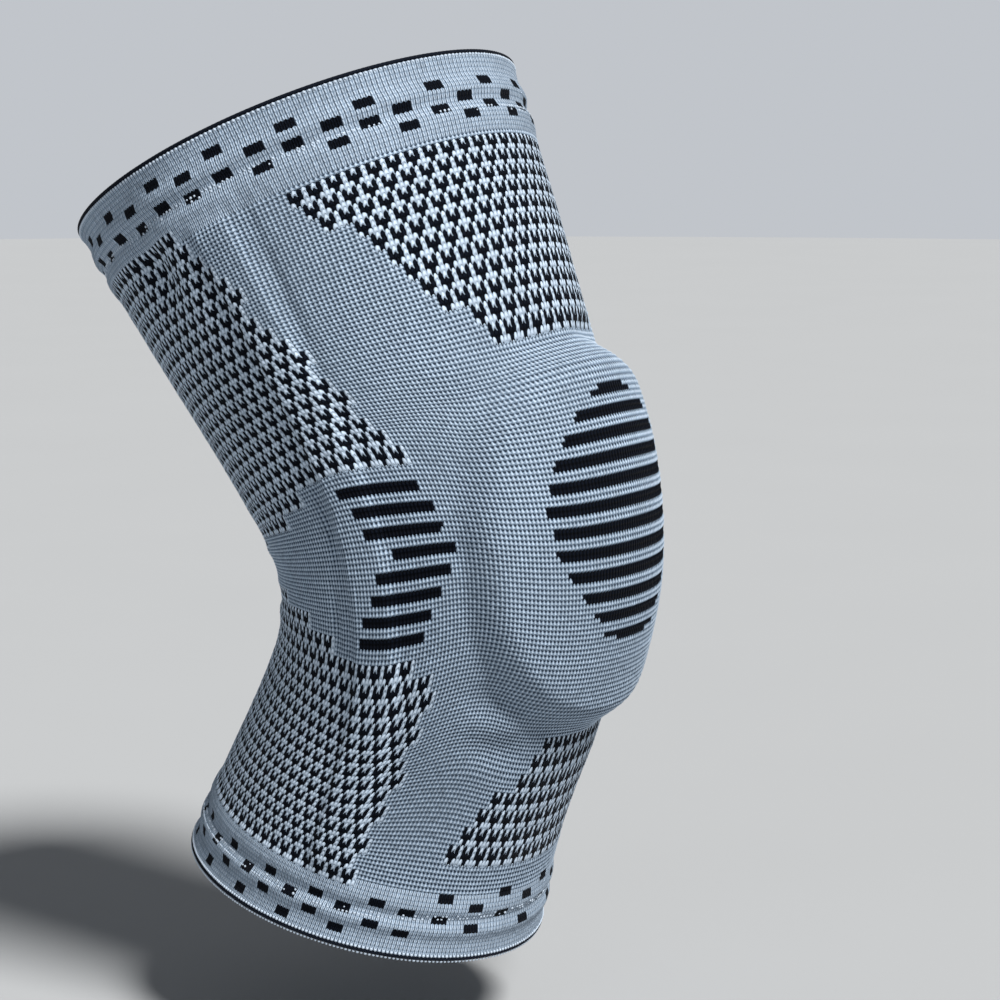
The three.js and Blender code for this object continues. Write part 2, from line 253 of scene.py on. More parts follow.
class LegSizes(PropertyGroup):
    """The bent leg that the sleeve is shaped on"""

    thigh_reach: a_length("Thigh Reach", "From the knee's corner to the upper mouth", 0.157)
    calf_reach: a_length("Calf Reach", "From the knee's corner to the lower mouth", 0.119)
    thigh_lean: an_angle("Thigh Lean", "How far the thigh leans back", 26.6)
    calf_lean: an_angle("Calf Lean", "How far the calf leans back", 22)
    knee_curve: a_length("Knee Curve", "Radius of the centre line round the knee", 0.105)
    thigh_size: a_length("Thigh Size", "Across the upper mouth", 0.158)
    knee_size: a_length("Knee Size", "Across the knee", 0.130)
    calf_size: a_length("Calf Size", "Across the lower mouth", 0.121)
    thigh_tilt: an_angle("Upper Mouth Tilt", "The upper mouth dips to the front", 1.2)
    calf_tilt: an_angle("Lower Mouth Tilt", "The lower mouth dips to the back", 7)


class KnitSizes(PropertyGroup):
    """The knitted wall and its stitches"""

    wall: a_length("Wall", "Thickness of the knit", 0.0022)
    wales: IntProperty(name="Wales", description="Columns of stitches round the sleeve", default=324, min=36)
    thigh_band: a_length("Upper Band", "Depth of the upper grip band", 0.028)
    calf_band: a_length("Lower Band", "Depth of the lower grip band", 0.025)
    roll: a_length("Edge", "Depth of the dark edge", 0.0016)
    roll_proud: a_length("Edge Rise", "How far the edge stands out of the wall", 0.0002)
    hem_stitch: a_length("Hem Stitch", "Width of the small light stitches at the edges", 0.001)
    thread: a_length("Band Thread", "Width of a stitch of the bands' light thread", 0.0008)
    bead: a_length("Stitch Rise", "How far a stitch stands out of its gaps", 0.00042)
    unevenness: a_length("Unevenness", "How far stitches differ in height", 0.00004)
    seed: IntProperty(name="Seed", description="Seed of the stitches' small differences", default=7)


class RingSizes(PropertyGroup):
    """The gel ring round the kneecap"""

    height: a_length("Height", "Over the front of the knee", 0.124)
    width: a_length("Width", "Round the front of the knee", 0.110)
    hole_height: a_length("Hole Height", "Of its hole", 0.066)
    hole_width: a_length("Hole Width", "Of its hole", 0.044)
    thickness: a_length("Thickness", "Of the gel", 0.0075)
    rise: a_length("Rise", "Its middle above the middle of the knee", 0.013)
    clearance: a_length("Clearance", "Between the ring and the knit over it", 0.00075)
    drape: a_length("Drape", "How far past the ring the knit comes down", 0.009)
    shoulder: a_length("Shoulder", "How far inside the ring's edge the knit turns down", 0.006)
    roundness: FloatProperty(name="Roundness", description="Power of the oval: 2 is an ellipse", default=2.2)
    point: FloatProperty(name="Hole Point", description="How sharp the hole's top is", default=0.5)
    dot: a_length("Dot", "Width of a domed dot", 0.0025)
    dot_rise: a_length("Dot Rise", "Height of a dot", 0.0005)


class StaySizes(PropertyGroup):
    """The flat stay up each side and its channel"""

    width: a_length("Width", "Of a stay", 0.009)
    thickness: a_length("Thickness", "Of a stay", 0.0016)
    clearance: a_length("Clearance", "Between a stay and the knit over it", 0.00045)
    end_gap: a_length("End Gap", "From a stay's end to the band", 0.004)
    slope: a_length("Slope", "Width of the channel's sloping side", 0.0045)
    fade: a_length("Fade", "Length over which the channel runs out", 0.009)


class Colours(PropertyGroup):
    """Yarns, gel and stage, with the painted highlight and painted shade of the stitches"""

    grey_yarn: a_colour("Grey Yarn", "The main yarn between its heads", (0.2, 0.27, 0.36))
    # painted highlight on the knit's stitch heads, and the real colour of the light thread at the edges and
    # in the bands
    light_yarn_and_highlight: a_colour("Light Yarn And Highlight", "The main yarn on the stitches' heads", (0.6, 0.7, 0.82))
    # painted shade in the holes between the grey stitches
    painted_gap_shade: a_colour("Grey Gaps", "Between the grey stitches", (0.012, 0.02, 0.036))
    dark_yarn: a_colour("Dark Yarn", "The yarn of the patterns", (0.0022, 0.0036, 0.0075))
    gel: a_colour("Gel", "The ring round the kneecap", (0.72, 0.82, 0.9))
    stay: a_colour("Stay", "The springy strips", (0.72, 0.74, 0.76))
    floor: a_colour("Floor", "The stage", (0.43, 0.44, 0.45))


class StageSizes(PropertyGroup):
    """The camera and the floor"""

    azimuth: an_angle("Azimuth", "Of the camera, 0 looks at the kneecap", -58.05)
    elevation: an_angle("Elevation", "Of the camera", 10.06)
    distance: a_length("Distance", "From the camera to the knee", 0.9254)
    lens: FloatProperty(name="Lens", description="Focal length in millimetres", default=99.2)
    aim_right: a_length("Aim Right", "Of the knee's middle, where the camera looks", 0.0161)
    aim_up: a_length("Aim Up", "Of the knee's middle, where the camera looks", 0.0245)
    floor_gap: a_length("Floor Gap", "From the floor to the held-up sleeve", 0.03)


class SleeveSettings(PropertyGroup):
    """All sizes and colours of the sleeve"""

    leg: PointerProperty(type=LegSizes)
    knit: PointerProperty(type=KnitSizes)
    ring: PointerProperty(type=RingSizes)
    stay: PointerProperty(type=StaySizes)
    colours: PointerProperty(type=Colours)
    stage: PointerProperty(type=StageSizes)


def ease(start, end, value):
    """Goes smoothly from 0 at start to 1 at end, whichever is larger."""
    t = np.clip((value - start) / (end - start), 0, 1)
    return t * t * (3 - 2 * t)


def curve_through(places, heights):
    """Smooth curve through the given heights, with the slope at each taken from its neighbours."""
    places = np.array(places, float)
    heights = np.array(heights, float)
    climbs = np.diff(heights) / np.diff(places)
    slopes = np.concatenate([climbs[:1], (climbs[:-1] + climbs[1:]) / 2, climbs[-1:]])

    def height_at(place):
        place = np.asarray(place, float)
        i = np.clip(np.searchsorted(places, place) - 1, 0, len(places) - 2)
        span = places[i + 1] - places[i]
        t = (place - places[i]) / span
        stay = heights[i] * (2 * t**3 - 3 * t**2 + 1)
        reach = heights[i + 1] * (3 * t**2 - 2 * t**3)
        leave = slopes[i] * span * (t**3 - 2 * t**2 + t)
        arrive = slopes[i + 1] * span * (t**3 - t**2)
        return stay + reach + leave + arrive

    return height_at


class Leg:
    """The knit's outer face. A place on it is a distance along the leg's centre line from the middle of
    the knee and a turn away from the front."""

    def __init__(self, settings):
        leg, knit, self.ring, self.stay = settings.leg, settings.knit, settings.ring, settings.stay
        self.wall = knit.wall
        self.curve = leg.knee_curve
        self.seat = leg.knee_size / 2
        self.middle_lean = (leg.thigh_lean - leg.calf_lean) / 2
        half_bend = (leg.thigh_lean + leg.calf_lean) / 2
        self.half_arc = self.curve * half_bend
        corner = self.curve * math.tan(half_bend) - self.half_arc
        self.rise = leg.thigh_reach - corner
        self.drop = leg.calf_reach - corner
        self.tilts = math.tan(leg.thigh_tilt) / self.rise, math.tan(leg.calf_tilt) / self.drop
        half = {"thigh": leg.thigh_size / 2, "knee": leg.knee_size / 2, "calf": leg.calf_size / 2}
        self.side, self.front, self.back = (
            self.column(SECTIONS, name, lambda row: half[row["size"]]) for name in ("side", "front", "back")
        )
        self.stay_turn = self.column(STAY_LINE, "turn", lambda row: math.pi)
        self.stay_top = self.rise - knit.thigh_band - self.stay.end_gap
        self.stay_foot = knit.calf_band + self.stay.end_gap - self.drop

    def distance_of(self, along):
        return along * (self.rise if along > 0 else self.drop)

    def column(self, rows, name, scale):
        places = [self.distance_of(row["along"]) for row in rows]
        return curve_through(places, [row[name] * scale(row) for row in rows])

    def spine(self, distance):
        on_arc = np.clip(distance, -self.half_arc, self.half_arc)
        lean = self.middle_lean + on_arc / self.curve
        past = distance - on_arc
        y = self.curve * (math.cos(self.middle_lean) - np.cos(lean)) + past * np.sin(lean)
        z = self.curve * (np.sin(lean) - math.sin(self.middle_lean)) + past * np.cos(lean)
        return y, z, lean

    def over_surface(self, distance, turn):
        on_arc = np.clip(distance, -self.half_arc, self.half_arc)
        return on_arc * (1 + self.seat * np.cos(turn) / self.curve) + distance - on_arc

    def from_surface(self, over, turn):
        stretch = 1 + self.seat * np.cos(turn) / self.curve
        on_arc = np.clip(over / stretch, -self.half_arc, self.half_arc)
        return on_arc + over - on_arc * stretch

    def outline(self, distance, turn):
        forward = np.where(np.cos(turn) > 0, self.front(distance), self.back(distance))
        return 1 / np.hypot(np.sin(turn) / self.side(distance), np.cos(turn) / forward)

    def ring_lift(self, distance, turn):
        """How far out the ring pushes the knit."""
        ring = self.ring
        across = np.abs(turn * self.seat / (ring.width / 2)) ** ring.roundness
        up = np.abs((self.over_surface(distance, turn) - ring.rise) / (ring.height / 2)) ** ring.roundness
        past = ((across + up) ** (1 / ring.roundness) - 1) * (ring.width + ring.height) / 4
        return (ring.thickness + ring.clearance) * ease(ring.drape, -ring.shoulder, past)

    def stay_lift(self, distance, turn):
        """How far out a stay pushes the knit, and how free of the stay the place is."""
        stay = self.stay
        at_stay = self.stay_turn(distance)
        radius = self.outline(distance, at_stay)
        flat = (stay.width / 2 + stay.clearance) / radius
        away = np.abs(np.abs(turn) - at_stay)
        side = ease(flat + stay.slope / radius, flat, away)
        ends = ease(self.stay_top + stay.fade, self.stay_top, distance)
        ends = ends * ease(self.stay_foot - stay.fade, self.stay_foot, distance)
        return (stay.thickness + stay.clearance) * side * ends, np.clip((away - flat) / flat, 0, 1)

    def mark_lift(self, distance, turn):
        total = 0
        for mark in MARKS:
            up = (distance - self.distance_of(mark["along"])) / (mark["length"] * 2 * self.seat)
            around = (np.abs(turn) - mark["turn"] * math.pi) / (2 * mark["width"])
            total = total + mark["rise"] * self.wall * np.exp(-(up**2) - around**2)
        return total

    def lift(self, distance, turn):
        over_ring = self.ring_lift(distance, turn)
        over_stay, off_stay = self.stay_lift(distance, turn)
        off_ring = 1 - over_ring / (self.ring.thickness + self.ring.clearance)
        marks = self.mark_lift(distance, turn) * np.minimum(off_stay, off_ring)
        return np.maximum(over_ring, over_stay) + marks

    def place(self, distance, turn, radius):
        """Points at a radius, a turn from the front (to +X) and a distance along the centre line."""
        forward = radius * np.cos(turn)
        slope = distance * np.where(distance > 0, self.tilts[0], self.tilts[1])
        y, z, lean = self.spine(distance - slope * forward)
        return np.stack([radius * np.sin(turn), y - forward * np.cos(lean), z + forward * np.sin(lean)], -1)

    def on_knit(self, distance, turn, off=0.0):
        """Points on the knit's outer face, or off it."""
        return self.place(distance, turn, self.outline(distance, turn) + self.lift(distance, turn) + off)


SPREAD = 0.2  # how much wider the front wales are than the mean, away from the knee
SPREAD_FROM = 0.01
SPREAD_TO = 0.09
FRONT_COURSES_TO = math.radians(40)
SIDE_COURSES_FROM = math.radians(90)
KNEE_BULGE = 0.0033  # how far up the courses bulge on each side of the knee, and where
BULGE_TURN = math.radians(54)
BULGE_WIDTH = math.radians(19)
BULGE_TO = 0.045
BULGE_END = 0.1


class Lattice:
    """Where each stitch of the knit lies: courses are counted up from the middle of the knee, wales
    round from the back."""

    def __init__(self, leg, knit):
        self.leg = leg
        self.wales = knit.wales
        self.top = THIGH_COURSES[-1]["course"]
        self.foot = -CALF_COURSES[-1]["course"]
        below = [(row, -1, leg.drop) for row in reversed(CALF_COURSES)]
        rows = below + [(row, 1, leg.rise) for row in THIGH_COURSES[1:]]
        self.front, self.side = (
            curve_through(
                [sign * row["course"] for row, sign, _ in rows],
                [sign * row[name] * reach for row, sign, reach in rows],
            )
            for name in ("front", "side")
        )

    def spot(self, course, wale):
        """Distance along the leg and turn of a place given in courses and wales."""
        front, side = self.front(course), self.side(course)
        turn = (wale / self.wales - 0.5) * 2 * math.pi
        spread = SPREAD * ease(SPREAD_FROM, SPREAD_TO, np.abs(front + side) / 2)
        turn = turn + spread * np.sin(turn)
        weight = ease(FRONT_COURSES_TO, SIDE_COURSES_FROM, np.abs(turn))
        distance = front + (side - front) * weight
        bulge = np.exp(-(((np.abs(turn) - BULGE_TURN) / BULGE_WIDTH) ** 2))
        return distance + KNEE_BULGE * bulge * ease(BULGE_END, BULGE_TO, np.abs(distance)), turn


def mouths(leg, lattice):
    """Name, place along the leg, last course and direction inwards of each mouth."""
    return ("thigh", leg.rise, lattice.top, -1), ("calf", -leg.drop, lattice.foot, 1)


def in_check(distance, degrees, leg):
    """Whether a place lies in one of the checked panels."""
    along = distance / np.where(distance > 0, leg.rise, leg.drop)
    front = THIGH_FRONT_CHECK
    inside = (along > front["foot"]) & (along < front["head"])
    inside &= degrees < np.interp(along, front["along"], front["edge"])
    back = THIGH_BACK_CHECK
    behind = (along < back["head"]) & (degrees > np.interp(along, back["along"], back["edge"]))
    behind &= along > np.interp(degrees, THIGH_BACK_FOOT["turn"], THIGH_BACK_FOOT["along"])
    calf = CALF_BACK_CHECK
    under = (along > calf["foot"]) & (degrees > np.interp(along, calf["along"], calf["edge"]))
    under &= along < np.interp(degrees, CALF_BACK_HEAD["turn"], CALF_BACK_HEAD["along"])
    shin = CALF_FRONT_CHECK
    low = (along > shin["foot"]) & (along < shin["head"])
    low &= degrees < np.interp(along, shin["along"], shin["edge"])
    return inside | behind | under | low


def check_dark(course, wale):
    motif = np.array([[mark == "X" for mark in row] for row in reversed(CHECK_MOTIF)])
    row = np.floor(course * CHECK_ROWS / CHECK_COURSES).astype(int)
    shift = CHECK_WALES // 2 * (row // CHECK_ROWS % 2)
    return motif[row % CHECK_ROWS, (np.floor(wale).astype(int) + shift) % CHECK_WALES]


def chart(lattice):
    """Which stitches are in a dark stripe or dash, and which in a checked panel, by course and wale."""
    leg, wales = lattice.leg, lattice.wales
    course, wale = np.meshgrid(np.arange(lattice.foot, lattice.top), np.arange(wales), indexing="ij")
    half = CHECK_WALES // 2
    band = course // CHECK_COURSES
    shift = half * (band % 2)
    middle_wale = (wale + shift) // CHECK_WALES * CHECK_WALES - shift + half
    middle = lattice.spot((band + 0.5) * CHECK_COURSES, middle_wale)
    check = in_check(middle[0], np.degrees(np.abs(middle[1])), leg)
    dark = np.zeros_like(check)
    degrees = np.degrees(np.abs(lattice.spot(course + 0.5, wale + 0.5)[1]))
    for i, stripe in enumerate(SIDE_STRIPES):
        top = SIDE_STRIPES_FROM - STRIPE_STEP * i
        rows = (course == top - 1) | (course == top - 2)
        dark |= rows & (degrees > stripe["front"]) & (degrees < stripe["back"])
    for i, stripe in enumerate(CAP_STRIPES):
        top = CAP_STRIPES_FROM - STRIPE_STEP * i
        dark |= (course == top - 1) & (degrees < stripe["upper"])
        dark |= (course == top - 2) & (degrees < stripe["lower"])
    for mouth in mouths(leg, lattice):
        dark |= dash_marks(lattice, *mouth)
    return dark, check


def dash_marks(lattice, part, mouth, end, inwards):
    """Stitches of a grip band's dashes."""
    dashes = DASHES[part]
    courses = np.arange(lattice.foot, lattice.top)
    wales = np.arange(lattice.wales)
    marks = np.zeros((len(courses), lattice.wales), bool)
    turns = np.degrees(lattice.spot(np.full(lattice.wales, float(end)), wales.astype(float))[1])
    for step in range(dashes["columns"]):
        turn = (step * 360 / dashes["columns"] + 180) % 360 - 180
        turn += dashes["bunching"] * math.sin(2 * math.radians(turn)) + DASH_START
        column = np.abs((turns - turn + 180) % 360 - 180).argmin()
        round_it = (column + np.arange(DASH_WALES) - DASH_WALES // 2) % lattice.wales
        dip = dashes["dip"] * ease(DIP_FROM, DIP_TO, abs(turn))
        distances, _ = lattice.spot(courses + 1.0, np.full(len(courses), float(column)))
        for depth in dashes["far" if step % 2 else "near"]:
            lower = np.abs(distances - (mouth + inwards * (depth + dip) * MM)).argmin()
            marks[np.ix_([lower, lower + 1], round_it)] = True
    return marks


def mesh_from(name, points, polygons, uvs=None, marks=None):
    """Mesh of points and of polygons, given as one array for each number of corners, with a pair of uv
    numbers for each corner and named values for each polygon."""
    mesh = bpy.data.meshes.new(name)
    mesh.vertices.add(len(points))
    mesh.vertices.foreach_set("co", np.asarray(points, np.float32).ravel())
    corners = np.concatenate([group.ravel() for group in polygons]).astype(np.int32)
    counts = np.concatenate([np.full(len(group), group.shape[1]) for group in polygons])
    mesh.loops.add(len(corners))
    mesh.polygons.add(len(counts))
    mesh.polygons.foreach_set("loop_start", np.concatenate([[0], np.cumsum(counts)[:-1]]).astype(np.int32))
    mesh.polygons.foreach_set("vertices", corners)
    if uvs is not None:
        layer = mesh.uv_layers.new(name="stitches")
        layer.data.foreach_set("uv", np.concatenate([group.ravel() for group in uvs]).astype(np.float32))
    for key, values in (marks or {}).items():
        attribute = mesh.attributes.new(key, "FLOAT", "FACE")
        attribute.data.foreach_set("value", np.asarray(values, np.float32))
    mesh.update(calc_edges=True)
    mesh.shade_smooth()
    return mesh


def sharpen(mesh, first):
    """Marks the edges of a mesh's polygons sharp, from the first given one on."""
    edges = np.empty(len(mesh.loops), np.int32)
    mesh.loops.foreach_get("edge_index", edges)
    sharp = np.zeros(len(mesh.edges), bool)
    sharp[edges[mesh.polygons[first].loop_start :]] = True
    mesh.attributes.new("sharp_edge", "BOOLEAN", "EDGE").data.foreach_set("value", sharp)


def add_piece(name, mesh, material, slot, nodes):
    """Object of a mesh that stands for CAD nodes, which it hides, with the given material if any. The slot is
    not used.
    """
    piece = bpy.data.objects.new(name, mesh)
    bpy.context.scene.collection.objects.link(piece)
    if material:
        mesh.materials.append(material)
    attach(piece, BODY)
    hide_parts(*nodes)
    return piece


def grid_quads(rows, columns, first=0):
    """Corners of the quads of a grid of points whose columns run round to the first again."""
    i, j = np.meshgrid(np.arange(rows - 1), np.arange(columns), indexing="ij")
    row, beside = i * columns, (j + 1) % columns
    quads = np.stack([row + j, row + beside, row + columns + beside, row + columns + j], -1)
    return quads.reshape(-1, 4) + first


def unwrapped(uv, wales):
    """Places of faces' corners in wales and courses, with the wales counted on where the ring closes."""
    uv[..., 0] += wales * (uv[..., 0].max(1, keepdims=True) - uv[..., 0] > wales / 2)
    return uv


INNER_STEP = 2  # courses to a row of the inner face
ROW_TEETH = 0.22  # how far a stitch's round head reaches into the next course
HEAD_RISE = 0.6  # heights of a stitch's parts, as shares of the stitch rise
SIDE_RISE = -0.1
HOLE_RISE = -0.75
NECK_RISE = -0.05
DARK_RISE = 0.45  # how deep the stitches of each kind are
CHECK_RISE = 0.2
BAND_RISE = 0.3
LIGHT_CHECK_LIFT = 0.12  # the light stitches of the check stand out and the dark ones lie back
DARK_CHECK_LIFT = -0.12
DARK_STRIPE_LIFT = -0.3


class Knitter:
    """Makes the pieces of knit, each a closed wall with the stitches of its courses."""

    def __init__(self, settings):
        self.knit = settings.knit
        self.leg = Leg(settings)
        self.lattice = Lattice(self.leg, self.knit)
        random = np.random.default_rng(self.knit.seed)
        self.dark, self.check = chart(self.lattice)
        self.uneven = random.normal(size=self.dark.shape)
        self.top_band = self.leg.rise - self.knit.thigh_band
        self.foot_band = self.knit.calf_band - self.leg.drop

    def ripple(self, distance):
        """How far out a band's ripples stand."""
        curve = curve_through([row["across"] for row in BAND_RIPPLES], [row["rise"] for row in BAND_RIPPLES])
        upper = (self.leg.rise - self.knit.roll - distance) / (self.knit.thigh_band - self.knit.roll)
        lower = (distance + self.leg.drop - self.knit.roll) / (self.knit.calf_band - self.knit.roll)
        across = np.clip(np.minimum(upper, lower), 0, 1)
        return self.knit.wall * curve(across)

    def in_band(self, distance):
        """Whether a distance lies in one of the grip bands."""
        return (distance > self.top_band) | (distance < self.foot_band)

    def outer_face(self, first, last):
        """Points two a course and two a wale, raised and shifted into stitches."""
        course, wale = np.meshgrid(
            np.arange(first, last + 0.25, 0.5), np.arange(0, self.lattice.wales, 0.5), indexing="ij"
        )
        mid_course, mid_wale = course % 1 == 0.5, wale % 1 == 0.5
        row = np.clip(np.floor(course).astype(int) - self.lattice.foot, 0, self.dark.shape[0] - 1)
        column = np.floor(wale).astype(int)
        foot_band, top_band = self.band_courses()
        end = (course == first) & (first < foot_band) | (course == last) & (last > top_band)
        teeth = np.where(mid_course, 0.0, np.where(mid_wale, ROW_TEETH, -ROW_TEETH / 2)) * ~end
        distance, turn = self.lattice.spot(course + teeth, wale)
        shape = np.where(
            mid_course,
            np.where(mid_wale, HEAD_RISE, SIDE_RISE),
            np.where(mid_wale, NECK_RISE, HOLE_RISE),
        )
        dark, check = self.dark[row, column], self.check[row, column]
        gain = np.where(dark, DARK_RISE, np.where(check, CHECK_RISE, 1.0))
        gain = np.where(self.in_band(distance) & ~check, BAND_RISE, gain)
        lift = np.where(check_dark(course, wale), DARK_CHECK_LIFT, LIGHT_CHECK_LIFT) * check
        off = self.knit.bead * (shape * gain + lift + DARK_STRIPE_LIFT * dark)
        off = (off + self.knit.unevenness * self.uneven[row, column]) * ~end
        return self.leg.on_knit(distance, turn, off + self.ripple(distance))

    def band_courses(self):
        """The courses where the lower band ends and the upper band starts."""
        return -CALF_COURSES[-2]["course"], THIGH_COURSES[-2]["course"]

    def inner_face(self, rows):
        course, wale = np.meshgrid(rows, np.arange(self.lattice.wales), indexing="ij")
        distance, turn = self.lattice.spot(course, wale)
        return self.leg.on_knit(distance, turn, self.ripple(distance) - self.knit.wall)

    def wall(self, name, first, last):
        """Closed wall between two courses, with the chart's colours as values of its faces."""
        wales = self.lattice.wales
        outer = self.outer_face(first, last)
        rows, columns = outer.shape[:2]
        inner_rows = np.unique(np.append(np.arange(first, last, INNER_STEP), last)).astype(float)
        inner = self.inner_face(inner_rows)
        start = rows * columns
        k = np.arange(wales)
        caps = []
        for ring, inside in (((rows - 1) * columns, start + len(inner) * wales - wales), (0, start)):
            out = [ring + 2 * k, ring + 2 * k + 1, ring + (2 * k + 2) % columns]
            caps.append(np.stack([*out, inside + (k + 1) % wales, inside + k], -1))
        faces = grid_quads(rows, columns)
        back = grid_quads(len(inner_rows), wales, start)[:, ::-1]
        polygons = [faces, back, caps[0], caps[1][:, ::-1]]
        places = np.concatenate(
            [
                np.stack(np.meshgrid(np.arange(count) * wales / count, courses), -1).reshape(-1, 2)
                for courses, count in ((first + np.arange(rows) / 2, columns), (inner_rows, wales))
            ]
        )
        uvs = [unwrapped(places[group], wales) for group in polygons]
        wale, course = np.concatenate([uv.min(1) for uv in uvs]).T
        row = np.clip(np.floor(course), first, last - 1).astype(int) - self.lattice.foot
        column = np.floor(wale).astype(int)
        foot_band, top_band = self.band_courses()
        banded = self.in_band(self.lattice.spot(course, wale)[0])
        marks = {
            "dark_yarn": self.dark[row, column],
            "check": self.check[row, column],
            "uneven": self.uneven[row, column],
            "rib": np.where(np.arange(len(row)) < len(faces), banded, first >= top_band or last <= foot_band),
        }
        points = np.concatenate([outer.reshape(-1, 3), inner.reshape(-1, 3)])
        mesh = mesh_from(name, points, polygons, uvs, marks)
        sharpen(mesh, len(faces) + len(back))
        return mesh


class Value:
    """A number that changes over the surface, with arithmetic that adds the nodes for it."""

    def __init__(self, nodes, socket):
        self.nodes = nodes
        self.socket = socket

    def by(self, operation, *others, clamp=False):
        node = self.nodes.add("ShaderNodeMath", operation=operation, use_clamp=clamp)
        for socket, value in zip(node.inputs, (self, *others)):
            self.nodes.feed(socket, value)
        return Value(self.nodes, node.outputs[0])

    def __add__(self, other):
        return self.by("ADD", other)

    def __sub__(self, other):
        return self.by("SUBTRACT", other)

    def __mul__(self, other):
        return self.by("MULTIPLY", other)

    def __truediv__(self, other):
        return self.by("DIVIDE", other)

    def opposite(self):
        return (self * -1.0) + 1.0

    def size(self):
        return self.by("ABSOLUTE")

    def part(self):
        return self.by("FRACT")

    def whole(self):
        return self.by("FLOOR")

    def left_over(self, step):
        return self.by("FLOORED_MODULO", step)

    def near(self, number):
        return (self - number).size().by("LESS_THAN", 0.5)

    def either(self, other):
        return self.by("MAXIMUM", other)

    def wave(self):
        return (self * (2 * math.pi)).by("COSINE")

    def held(self):
        return self.by("MULTIPLY", 1.0, clamp=True)

    def toward(self, other, share):
        return self * share.opposite() + other * share


class Nodes:
    """Short hand for building a node tree."""

    def __init__(self, tree):
        self.tree = tree

    def add(self, kind, inputs=None, **settings):
        node = self.tree.nodes.new(kind)
        for key, value in settings.items():
            setattr(node, key, value)
        for key, value in (inputs or {}).items():
            self.feed(node.inputs[key], value)
        return node

    def feed(self, socket, value):
        if isinstance(value, Value):
            value = value.socket
        if isinstance(value, bpy.types.NodeSocket):
            self.tree.links.new(value, socket)
        else:
            socket.default_value = value

    def value(self, socket):
        return Value(self, socket)

    def mix(self, factor, first, second):
        node = self.add("ShaderNodeMix", data_type="RGBA")
        for socket, value in zip((node.inputs[0], node.inputs[6], node.inputs[7]), (factor, first, second)):
            self.feed(socket, value)
        return node.outputs[2]

    def scaled(self, colour, share):
        node = self.add("ShaderNodeVectorMath", {0: colour}, operation="SCALE")
        self.feed(node.inputs["Scale"], share)
        return node.outputs[0]

    def attribute(self, name):
        return self.value(self.add("ShaderNodeAttribute", attribute_name=name).outputs["Fac"])

    def noise(self, place, scale, detail=2.0):
        settings = {"Vector": place, "Scale": scale, "Detail": detail}
        return self.value(self.add("ShaderNodeTexNoise", settings).outputs["Fac"])

    def object_place(self):
        return self.add("ShaderNodeTexCoord").outputs["Object"]


def full(colour):
    return (*colour, 1.0)


def new_group(name, inputs, outputs):
    """Shader node group with the named inputs, each with a default, and outputs."""
    group = bpy.data.node_groups.new(name, "ShaderNodeTree")
    for label, kind, default in inputs:
        socket = group.interface.new_socket(label, in_out="INPUT", socket_type=kind)
        socket.default_value = default
    for label, kind in outputs:
        group.interface.new_socket(label, in_out="OUTPUT", socket_type=kind)
    return group


# Forms of a stitch, as shares of a stitch: half sizes, lean, where the middle lies, and depth
FORMS = {
    "head": {"wide": 0.44, "high": 0.54, "lean": 0.18, "aside": 0.0, "up": -0.04, "depth": 1.0},
    "hole": {"wide": 0.38, "high": 0.34, "lean": 0.3, "aside": 0.0, "up": -0.04, "depth": 1.35},
    "rib_leg": {"wide": 0.22, "high": 0.9, "lean": -0.16, "aside": 0.24, "up": 0.0, "depth": 1.0},
    "rib_groove": {"wide": 0.12, "high": 1.5, "lean": 0.0, "aside": 0.5, "up": 0.0, "depth": 0.8},
    "check_head": {"wide": 0.56, "high": 0.62, "lean": 0.12, "aside": 0.0, "up": 0.06, "depth": 1.0},
    "check_hole": {"wide": 0.2, "high": 0.2, "lean": 0.0, "aside": 0.12, "up": -0.36, "depth": 0.55},
}


def form(name, x, y):
    """A form's depth at its middle, down to 0 at its edge."""
    shape = FORMS[name]
    across = (x + y * shape["lean"] - shape["aside"]) / shape["wide"]
    along = (y - shape["up"]) / shape["high"]
    return ((across * across + along * along).opposite().held() * shape["depth"]).held()


def plain_stitches(across, along):
    """Heads of plain stitches, and the holes between them."""
    head = form("head", across.part() - 0.5, along.part() - 0.5)
    return head, form("hole", (across + 0.5).part() - 0.5, (along + 0.5).part() - 0.5)


def ribbed_stitches(across, along):
    """Close stitches of a band: two slanted legs each, with a groove between wales."""
    x = (across.part() - 0.5).size()
    y = along.part() - 0.5
    return form("rib_leg", x, y), form("rib_groove", x, y)


ARCH = 0.3  # the check's stitches arch up in the middle, from below the row's edge, and lean
ARCH_FOOT = 0.12
ARCH_LEAN = 0.05


def check_stitches(across, along):
    rows = along * (CHECK_ROWS / CHECK_COURSES)
    aside = across.part() - 0.5
    bent = rows - ((aside * aside * -4.0 + 1.0) * ARCH - ARCH_FOOT)
    bent_across = across + (bent.part() - 0.5).wave() * ARCH_LEAN
    row = bent.whole()
    shift = (row / CHECK_ROWS).whole().left_over(2.0) * (CHECK_WALES / 2)
    column = (bent_across.whole() + shift).left_over(float(CHECK_WALES))
    place = row.left_over(float(CHECK_ROWS))
    dark = None
    for up, marks in enumerate(reversed(CHECK_MOTIF)):
        for side, mark in enumerate(marks):
            if mark == "X":
                spot = place.near(float(up)) * column.near(float(side))
                dark = spot if dark is None else dark.either(spot)
    x = bent_across.part() - 0.5
    y = bent.part() - 0.5
    return dark, form("check_head", x, y), form("check_hole", x, y)


PATCH_SCALE = 30.0  # lighter and darker patches of the knit, to the metre
WOBBLE_SCALE = 0.9  # unevenness of the stitches' places, to the stitch
WOBBLE = 0.22
FIBRE_SCALE = 7.0
HIGHLIGHT_AND_CHECK_TONE = {"head": 0.75, "check": 0.25}  # how much painted highlight lies on the stitches' heads, and how much lighter the whole check is
YARN_TONE = {"patch": 0.5, "uneven": 0.05}  # how far patches and single stitches change the tone
